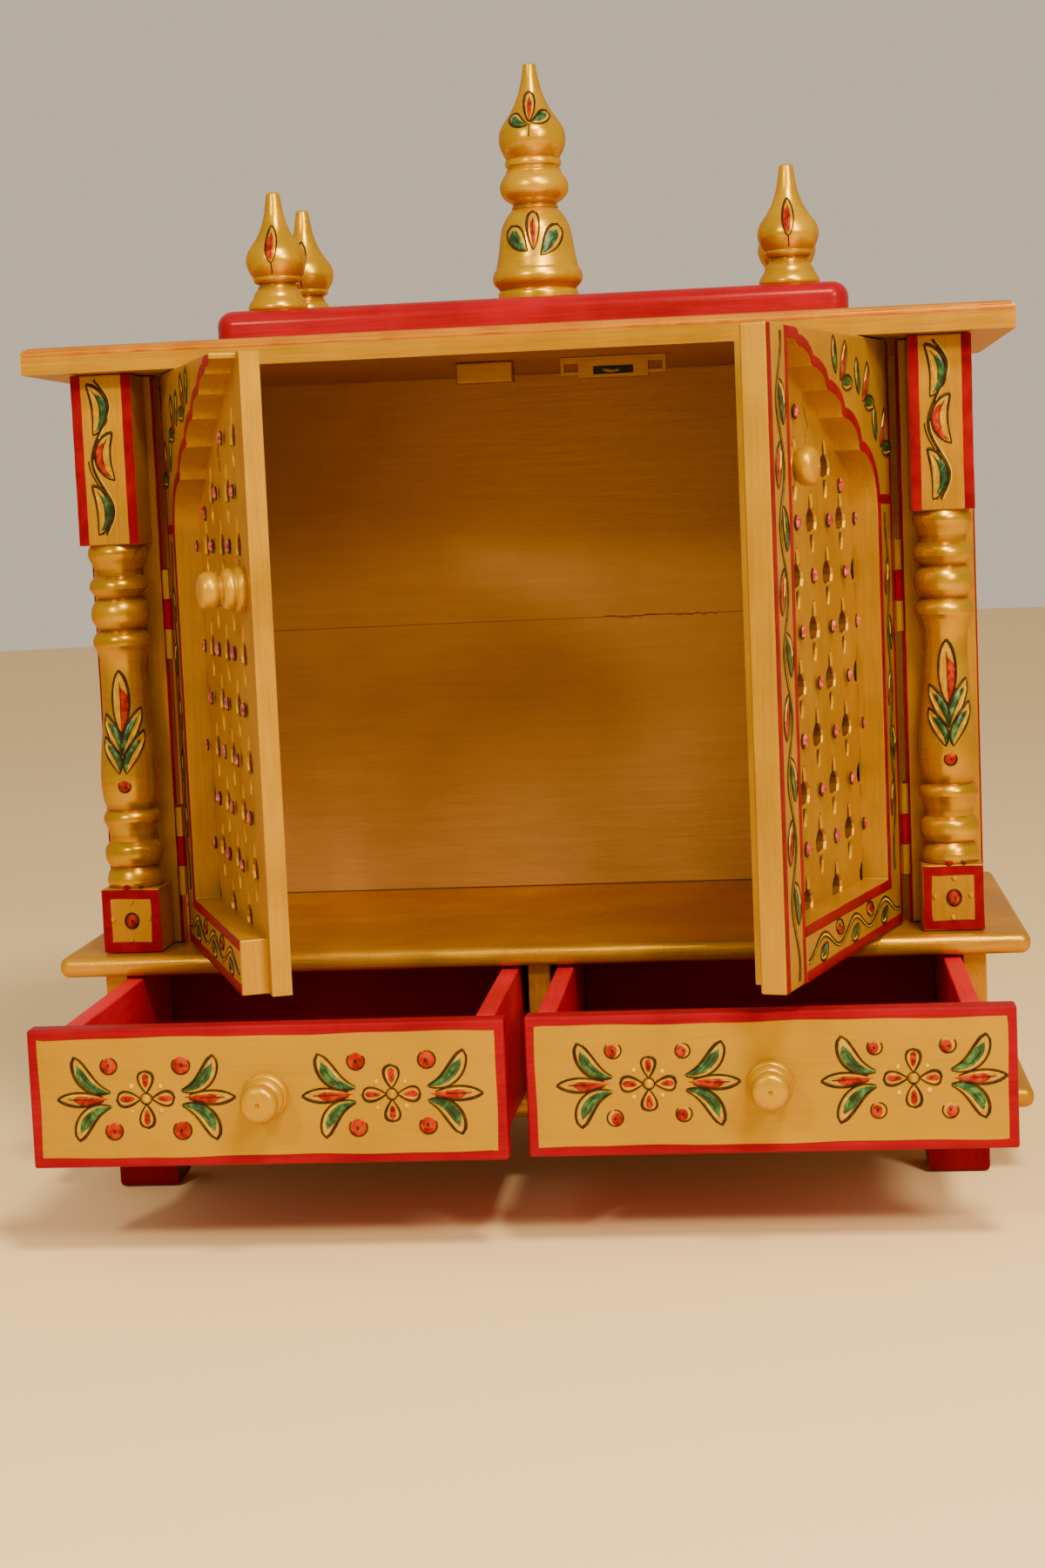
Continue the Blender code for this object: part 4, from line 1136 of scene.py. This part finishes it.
def paintDot(body, place, s, t, radius, rng, full=True):
    # a red dot with a dark heart and a broken ring, or a gold one with red to one side
    style = dotStyle
    if full:
        bead(body, "red", place, s, t, radius, style["height"])
    else:
        across, down = style["redShift"]
        bead(body, "gold", place, s, t, radius, style["goldHeight"])
        bead(body, "red", place, s + rng.choice((-across, across)), t - down, radius * style["redSize"],
             style["redHeight"])
    gap, drift = rng.uniform(0, style["widestGap"]), style["heartDrift"]
    size, width, height = style["ring"]
    loop(body, "outline", place, s, t, radius * size, width, height, start=gap * 0.3, stop=1 - gap)
    bead(body, "outline", place, s + rng.uniform(-drift, drift), t + rng.uniform(-drift, drift),
         radius * style["heart"], style["heartHeight"])


def paintFlower(body, side, place, rng):
    # four petals on the cross, a spike to each side, four curled leaves and their dots
    motif, quarters = drawerMotif, [(s, t) for s in (-1, 1) for t in (-1, 1)]

    def jog(amount=0.5):
        return rng.uniform(-amount, amount)
    inner, outer, width = motif["petal"]
    for turn in range(4):
        way = Vector((math.cos(turn * math.pi / 2), math.sin(turn * math.pi / 2)))
        reach = outer + jog(0.7)
        curve = bezier(way * (inner - 0.8), way * (inner + 3), way * (outer - 3), way * reach)
        leaf(body, place, curve, width + jog(0.4), "red", "petal", rng.choice((-1, 1)))
    bead(body, "gold", place, 0, 0, *motif["heart"])
    loop(body, "outline", place, 0, 0, *motif["heartRing"])
    across, up, radius = motif["speck"]
    for s, t in quarters:
        bead(body, "cream", place, s * across + jog(), t * up + jog(), radius * rng.uniform(0.8, 1.1), 0.8)
    start, stop, width = motif["spike"]
    for way in (-1, 1):
        curve = bezier((way * start, jog()), (way * (start + 8), jog(0.3)), (way * (stop - 8), jog(0.3)),
                       (way * (stop + jog()), jog(0.6)))
        leaf(body, place, curve, width, "red", "spike", -way)
    base, near, far, tip = (Vector(point) for point in motif["leaf"])
    for s, t in quarters:
        lean = Vector((jog(0.8), 0.0))
        bends = (base, near + lean, far + lean, tip + Vector((jog(1.2), jog(0.8))))
        curve = bezier(*(Matrix.Diagonal((s, t)) @ bend for bend in bends))
        leaf(body, place, curve, motif["leafWidth"] + jog(0.4), "green", "curl")
        spot = s * motif["dot"][0] + jog(0.9), t * motif["dot"][1] + jog(0.9)
        size = motif["dotSize"][side] + jog(0.2)
        paintDot(body, place, *spot, size, rng, full=side == motif["fullDots"])


pillarPaint = {      # millimetres
    "stripe": 4.7, "border": 4.6, "seed": {"left": 2, "right": 6},
    "stem": [(-3, 78), (3, 65), (-6, 40), (3, 18), (-1, 5)],      # down the head block
    # colour, shift, how far down it starts, then width, height, waver and swell, and its own seed
    "stemStrokes": (("outline", 0.0, 0.0, (1.35, 0.55, 0.15, 0.5), 0),
                    ("outline", -1.7, 0.5, (0.75, 0.42, 0.15, 0.4), 1),
                    ("cream", 1.0, 0.0, (0.6, 0.34, 0.1, 0.5), 0)),
    "stemLeaves": (((-4.8, 52), (-6.8, 76), 6.5, "green", -1), ((4.4, 30.5), (4.2, 53), -7.0, "red", 1),
                   ((-4.6, 5), (-6.6, 28.4), 6.0, "green", -1)),      # foot, tip, bow, colour and its side
    "bud": ((0, 106.5), (0, 116), (0, 127), (-0.2, 136.4)), "dot": (0.4, 80.8, 2.9),      # on the vase
    "budLeaves": ((-1, (0.8, 95.2), (9.2, 115.6)), (-1, (1.8, 87.0), (9.8, 104.6)),
                  (1, (0.8, 95.2), (10.2, 118.2)), (1, (1.8, 87.0), (11.4, 107.2))),      # way, foot and tip
    "stemLeaf": 7.6, "budWidth": 8.4, "budLeaf": 6.6,
    "stud": (0.3, 0.0, 3.0, 1.6, 1.2), "studRing": (0.3, 0.0, 3.3, 1.0, 0.7, 1.15),
    "studHeart": (0.7, 0.1, 0.9, 1.85),
    "goldDot": (1.3, 1.0), "drips": (("line", -1.6, 1.9), ("outline", 5.4, 1.2)),      # on the base block
}


def paintPillars():
    paint, body = pillarPaint, "cabinet"
    tall, head = pillarBlocks["base"], pillarBlocks["head"]
    for side, seed in paint["seed"].items():
        node = f"pillar_{side}"
        low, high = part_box(node)
        foot, width = footMiddle(node), (high.x - low.x) / mm
        rng = random.Random(seed)
        place = onFront(foot.x, low.y, high.z - head * mm)
        for way in (-1, 1):
            s = way * (width / 2 - paint["stripe"] / 2 + 0.1)
            stripe = [(s, 0.2), (s, head - 0.2)]
            brushLine(body, "line", place, stripe, paint["stripe"], 0.3, 0.3, seed=seed + way)
        paintHeadVine(body, place, seed)
        paintVase(body, roundTurning(foot, pillarTurning), rng)
        middle = low.z + tall / 2 * mm
        half = (width / 2 - 0.3, tall / 2 - 0.4)
        wavyField(body, "line", onFront(foot.x, low.y, middle), half, 0.22, seed)
        half = (width / 2 - paint["border"], tall / 2 - paint["border"] - 0.4)
        wavyField(body, "plain", onFront(foot.x, low.y - 0.2 * mm, middle), half, 0.25, seed + 3)
        place = onFront(foot.x, low.y - 0.42 * mm, middle)
        bead(body, "red", place, *paint["stud"])
        loop(body, "outline", place, *paint["studRing"])
        bead(body, "outline", place, *paint["studHeart"])
        wide, up = half[0] - 1.2, half[1] - 1.2
        for s, t in ((-wide, 0.8), (wide, 1.0), (0.3, up), (-0.4, 0.2 - up)):
            bead(body, "gold", place, s + rng.uniform(-0.4, 0.4), t, *paint["goldDot"])
        drip = onFront(foot.x, low.y + 0.3 * mm, low.z + tall * mm)
        for colour, s, size in paint["drips"]:
            bead(body, colour, drip, s, 0.7, size, 1.0, tall=0.5)


def paintHeadVine(body, place, seed):
    # an S-shaped stem down the block with a leaf in each of its three bends
    paint, stem = pillarPaint, smoothThrough(pillarPaint["stem"], 12)
    for colour, shift, start, brush, extra in paint["stemStrokes"]:
        path = [(s + shift, t) for s, t in stem[int(len(stem) * start):]]
        brushLine(body, colour, place, path, *brush, step=0.8, seed=seed + extra)
    for foot, tip, bow, fill, side in paint["stemLeaves"]:
        leaf(body, place, bowed(foot, tip, (bow, 0)), paint["stemLeaf"], fill, "block", side)


def paintVase(body, place, rng):
    # a tall bud over four leaves, and a dot beneath
    paint = pillarPaint
    leaf(body, place, bezier(*paint["bud"]), paint["budWidth"], "red", "vaseBud", -1)
    for way, (footS, footT), (s, t) in paint["budLeaves"]:
        curve = bezier((way * footS, footT), (way * (footS + 0.4), footT + 8), (way * (s - 3.4), t - 7.5),
                       (way * s, t))
        leaf(body, place, curve, paint["budLeaf"], "green", "vase", way)
    paintDot(body, place, *paint["dot"], rng)


vineStems = (      # colour, share of the swing, shift, then width, height, waver and swell, and its own seed
    ("cream", 1.0, -0.1, (1.9, 0.3, 0.15, 0.6), 2),
    ("outline", 1.0, 0.7, (1.2, 0.5, 0.15, 0.5), 0),
    ("outline", 0.9, -0.9, (0.7, 0.44, 0.2, 0.4), 1),
)
doorVines = {      # millimetres: swing and length of a wave, where one crests, a leaf's length and width
    "rail": {"middle": 12.4, "swing": 4.4, "wave": 50.0, "crest": 34.9, "leafSize": (12.0, 6.6), "twist": -1,
             "standing": False},
    "stile": {"middle": 12.6, "swing": 2.6, "wave": 52.0, "crest": 36.0, "leafSize": (17.0, 5.6)},
    "strip": {"middle": 175.3, "swing": 4.2, "wave": 52.0, "crest": 36.0, "leafSize": (19.0, 7.6),
              "line": 1.0},
}


def vine(body, place, start, stop, seed, middle, swing, wave, crest, leafSize, twist=1, line=0.85,
         standing=True):
    # a double stem that winds along a strip, with green and red leaves by turns in its bends
    def at(along, across):
        return (middle + across, along) if standing else (along, middle + across)

    def winding(along):
        return swing * math.cos(math.tau * (along - crest) / wave)
    count = int((stop - start) / 2.5)
    alongs = [start + (stop - start) * i / count for i in range(count + 1)]
    for colour, bend, shift, brush, extra in vineStems:
        path = [at(a, winding(a) * bend + shift) for a in alongs]
        brushLine(body, colour, place, path, *brush, step=1.2, seed=seed + extra)
    (length, width), half = leafSize, wave / 2
    rng = random.Random(seed)
    for number in range(math.ceil((start + length * 0.5 - crest) / half),
                        math.ceil((stop - length * 0.45 - crest) / half)):
        along, odd = crest + number * half, number % 2
        way, fill = (-1, "red") if odd else (1, "green")
        shift, tilt = -way * swing * 0.5, twist * way * width * 0.35
        belly = shift - way * width * 0.3
        curve = bezier(at(along - length / 2, shift - tilt + rng.uniform(-0.3, 0.3)),
                       at(along - length / 6, belly), at(along + length / 6, belly),
                       at(along + length / 2, shift + tilt))
        leaf(body, place, curve, width, fill, "vine", rng.choice((-1, 1)), line=line)


doorPaint = {      # millimetres; underCornice is the gap that the arch line keeps below the door's top
    "line": 5.0, "tab": 4.6, "tabLevel": 202.0, "underCornice": 0.6, "seed": {"left": 11, "right": 17},
    "railVine": 8, "stileVine": (28, 196), "margin": 3,      # where the vines start and stop
}


def paintDoors():
    shape, paint, high = doorShape, doorPaint, doorHeight
    stile, rail, end, line = shape["stile"], shape["rail"], shape["frameEnd"], paint["line"]
    arch, tab = archLine(6), paint["tabLevel"]
    edge = grownOutline([(stile, rail)] + arch + [(end + 30, arch[-1][1])], line / 2 - 0.1)[1:-1]
    edge = [(s, min(t, high - line / 2 - paint["underCornice"])) for s, t in edge]
    lines = (      # path, width, height, waver and swell
        ([(stile - line / 2 + 0.1, rail - 2)] + edge, line, 0.32, 0.3, 0.12),
        ([(3.2, 0.5), (3.2, high - 0.5)], 3.4, 0.3, 0.25),
        ([(3.4, tab), (stile - 1, tab + 0.4)], paint["tab"], 0.32, 0.2),
        ([(stile - line, rail - 2.5), (end - 0.3, rail - 2.4)], 4.8, 0.32, 0.4),
        ([(2.4, 2.6), (end - 0.4, 2.4)], 4.9, 0.32, 0.4),
    )
    for side, seed in paint["seed"].items():
        body, place = f"{side}_door", onDoor(side)
        for number, stretch in enumerate(lines):
            brushLine(body, "line", place, *stretch, seed=seed + number)
        bead(body, "line", place, stile - 1.6, tab - 2.6, 1.5, 0.9)
        vine(body, place, paint["railVine"], end - paint["margin"], seed, **doorVines["rail"])
        vine(body, place, *paint["stileVine"], seed + 6, **doorVines["stile"])
        paintSpandrel(body, place)
    near, far = shape["strip"]
    for s, width in ((near + 2.1, 4.2), (far - 2.6, 5.0)):
        brushLine(body, "line", place, [(s, 0.5), (s, high - 0.5)], width, 0.32, 0.3, seed=seed + round(s))
    vine(body, place, paint["margin"], high - paint["margin"], seed + 9, **doorVines["strip"])


spandrelPaint = {      # leaves of one sprig: foot and tip from its own place, bow, width, colour and its side
    "leaves": (((0, 0), (3.2, 16.5), (2.0, 0.0), 6.8, "green", 1),
               ((-6.0, -3.0), (-15.5, 15.0), (-1.4, 0.0), 7.4, "red", 1),
               ((-8.5, -4.8), (-25.0, -4.0), (0.0, 1.2), 7.0, "green", -1)),
    "offsets": ((0, 29), (0, 25), (10, 19)),      # from the first three cusps of the arch
}


def paintSpandrel(body, place):
    # three sprigs over the arch: a green leaf, a red leaf and one that lies towards the hinges
    for cusp, offset in zip(archCusps(), spandrelPaint["offsets"]):
        spot = Vector(cusp) + Vector(offset)
        for foot, tip, bow, width, fill, side in spandrelPaint["leaves"]:
            curve = bowed(spot + Vector(foot), spot + Vector(tip), bow, (0.33, 0.7))
            leaf(body, place, curve, width, fill, "sprig", side)


finialPaint = {      # buds of the tall finial: foot, height, left and right leaf, width of bud and leaf
    "buds": ((26.0, 19.5, ((-3.0, 25.5), (-11.8, 38.5)), ((3.6, 23.0), (13.4, 38.5)), 6.4, 9.6),
             (89.5, 16.0, ((-0.8, 88.0), (-9.8, 94.4)), ((0.8, 89.5), (9.6, 95.4)), 5.6, 6.6)),
    "tallStem": ((-0.4, 82), (-0.2, 84), (0, 86), (0.2, 88.5)),
    "leaf": ((0, 22.5), (0, 28), (0, 34), (0, 41.5)), "leafWidth": 5.6,
    "smallStem": ((0, 17.5), (0.3, 19), (0, 21), (0, 23)),
}


def paintFinials():
    paint, body = finialPaint, "cabinet"
    for node, runs in finials.items():
        place = roundTurning(footMiddle(node), runs)
        if runs is tallFinial:
            for bud in paint["buds"]:
                paintBud(body, place, *bud)
            stroke(body, "outline", place, bezier(*paint["tallStem"]), 0.35, 0.5)
        else:
            leaf(body, place, bezier(*paint["leaf"]), paint["leafWidth"], "red", "finial")
            stroke(body, "outline", place, bezier(*paint["smallStem"]), 0.3, 0.5)


def paintBud(body, place, foot, tall, left, right, width, leafWidth):
    # a bud between two broad leaves
    curve = bezier(*((0, foot + tall * share) for share in (0, 0.3, 0.7, 1)))
    leaf(body, place, curve, width, "red", "finialBud")
    for way, (start, stop) in ((-1, left), (1, right)):
        leaf(body, place, bowed(start, stop, (way * 1.0, -1.5), (0.35, 0.75)), leafWidth, "green", "broad")


def layBrushwork():
    # every colour of a body becomes one piece
    words = {"line": "red_lines", "outline": "dark_lines", "green": "green_leaves", "red": "red_petals",
             "cream": "light_touches", "gold": "gold_touches", "field": "gold_field", "plain": "gold_squares",
             "rim": "orange_rim", "seam": "panel_seam"}
    for (body, colour), (points, faces) in sorted(brushwork.items()):
        mesh = bpy.data.meshes.new("paint")
        mesh.from_pydata([tuple(p) for p in points], [], faces)
        bm = bmesh.new()
        bm.from_mesh(mesh)
        slot = "red_paint" if colour in ("line", "red", "rim") else "gold_paint"
        addPiece(f"{body}_{words[colour]}", bm, colours[colour], body, slot, sharp=50)


cabinetMarks = {      # millimetres: width of each line, and where it lies
    "rim": 1.3, "rimLevel": 9.0, "crownLine": 3.4, "crown": (9.0, 3.0),      # the swell's run and rise
    "seam": 145.0, "seamMargin": 40, "seamDrop": 1.2, "seamSteps": 30,
    "crack": 0.55, "crackStart": 0.56, "crackLift": 0.8, "crackStep": 3.4, "crackSteps": 18, "ragged": 0.9,
    "edge": 1.6, "outerEdge": 0.7,      # on the jambs' two corners
}


def paintBoards():
    # the orange-red rim of the cornice, the seam and crack in the back panel, red on the jambs' corners
    marks, body = cabinetMarks, "cabinet"
    low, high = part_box("cornice_board")
    width, (run, rise) = (high.x - low.x) / mm, marks["crown"]

    def onCrown(s, t, h=0.0):
        # over the swell behind the cornice's front edge: t is the distance back from that edge
        lift = rise * math.sqrt(max(0.0, 1 - (1 - t / run) ** 2))
        return Vector((low.x + s * mm, low.y + t * mm, high.z + (lift - rise + h) * mm))
    level, back = marks["rimLevel"], marks["crownLine"] / 2 + 0.3
    brushLine(body, "rim", onFront(*low), [(1, level), (width - 1, level)], marks["rim"], 0.22, 0.25, 0.5,
              seed=3, size=40)
    brushLine(body, "rim", onCrown, [(2, back), (width - 2, back)], marks["crownLine"], 0.22, 0.2, 0.2,
              seed=4, size=40)
    paintSeam(body)
    for side, sign in sides.items():
        low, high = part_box(f"jamb_{side}")
        inner, outer = (low.x, high.x) if sign > 0 else (high.x, low.x)
        path = [(0, 0.5), (0, (high.z - low.z) / mm - 0.5)]
        spots = ((inner + sign * 0.8 * mm, marks["edge"]), (outer - sign * 0.5 * mm, marks["outerEdge"]))
        for x, wide in spots:
            brushLine(body, "line", onFront(x, low.y, low.z), path, wide, 0.25, 0.3, 0.2, seed=8)


def paintSeam(body):
    # the line where the two boards of the back meet, and a ragged crack along part of it
    marks, (low, high) = cabinetMarks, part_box("back_panel")
    wide, margin, steps = (high.x - low.x) / mm, marks["seamMargin"], marks["seamSteps"]
    panel = onFront(low.x, low.y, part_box("shelf_board")[1].z)
    rng = random.Random(12)
    seam = [(margin + (wide - 2 * margin) * i / steps, marks["seam"] + marks["seamDrop"] * i / steps)
            for i in range(steps + 1)]
    brushLine(body, "seam", panel, seam, marks["crack"] * 0.7, 0.05, 0.3, 0.9, step=2.0, seed=5)
    start, level = wide * marks["crackStart"], marks["seam"] + marks["crackLift"]
    crack = [(start + marks["crackStep"] * i, level + rng.uniform(-marks["ragged"], marks["ragged"]))
             for i in range(marks["crackSteps"] + 1)]
    brushLine(body, "seam", panel, crack, marks["crack"], 0.07, 0.3, 0.9, step=1.0, seed=6)


paintBoards()
print("boards marked")
paintDrawers()
print("drawer fronts painted")
paintPillars()
paintFinials()
print("pillars and finials painted")
paintDoors()
print("doors painted")
layBrushwork()


view = {
    "at": (0.1148, -1.2443, 0.3220), "yaw": 0.0969, "pitch": -0.1048, "roll": 0.043, "lens": 59.9,
    "sensor": 36,
}


def setView():
    camera = bpy.data.objects.new("camera", bpy.data.cameras.new("camera"))
    bpy.context.scene.collection.objects.link(camera)
    aim = (Matrix.Rotation(view["yaw"], 3, "Z") @ Matrix.Rotation(view["pitch"], 3, "X")
           @ Matrix.Rotation(view["roll"], 3, "Y"))
    toCamera = Matrix(((1, 0, 0), (0, 0, -1), (0, 1, 0)))      # a camera looks along its own -Z
    camera.matrix_world = Matrix.Translation(view["at"]) @ (aim @ toCamera).to_4x4()
    camera.data.lens = view["lens"]
    camera.data.sensor_width = view["sensor"]
    bpy.context.scene.camera = camera


studio = {      # each light's place in metres, its size and its watts
    "floor": (0.97, 0.74, 0.40), "air": (1.0, 0.84, 0.64), "airStrength": 0.66, "warm": (1.0, 0.80, 0.54),
    "aim": (0, 0, 0.22), "lights": {
        "key": ((0.45, -1.10, 1.55), 0.4, 36), "right": ((0.90, -1.25, 1.00), 0.4, 19),
        "left": ((-0.67, -1.41, 1.05), 0.18, 12)},
}


def addLight(name, where, size, watts):
    lamp = bpy.data.lights.new(name, "AREA")
    lamp.shape, lamp.size, lamp.energy, lamp.color = "DISK", size, watts, studio["warm"]
    holder = bpy.data.objects.new(name, lamp)
    holder.location = where
    holder.rotation_euler = (Vector(studio["aim"]) - Vector(where)).to_track_quat("-Z", "Y").to_euler()
    bpy.context.scene.collection.objects.link(holder)


def setStudio():
    bm = bmesh.new()
    bmesh.ops.create_circle(bm, cap_ends=True, segments=64, radius=6.0)
    floor = linkPiece("floor", meshOf("floor", bm))
    floor.location.z = -0.0002
    plain = bpy.data.materials.new("floor_pale")
    plain.use_nodes = True
    plug(plain, {"Base Color": (*studio["floor"], 1), "Roughness": 0.8, "Specular IOR Level": 0.2})
    floor.data.materials.append(plain)
    world = bpy.data.worlds.new("pale_room")
    world.use_nodes = True
    world.node_tree.nodes["Background"].inputs["Color"].default_value = (*studio["air"], 1)
    world.node_tree.nodes["Background"].inputs["Strength"].default_value = studio["airStrength"]
    bpy.context.scene.world = world
    for name, light in studio["lights"].items():
        addLight(name, *light)


setView()
setStudio()
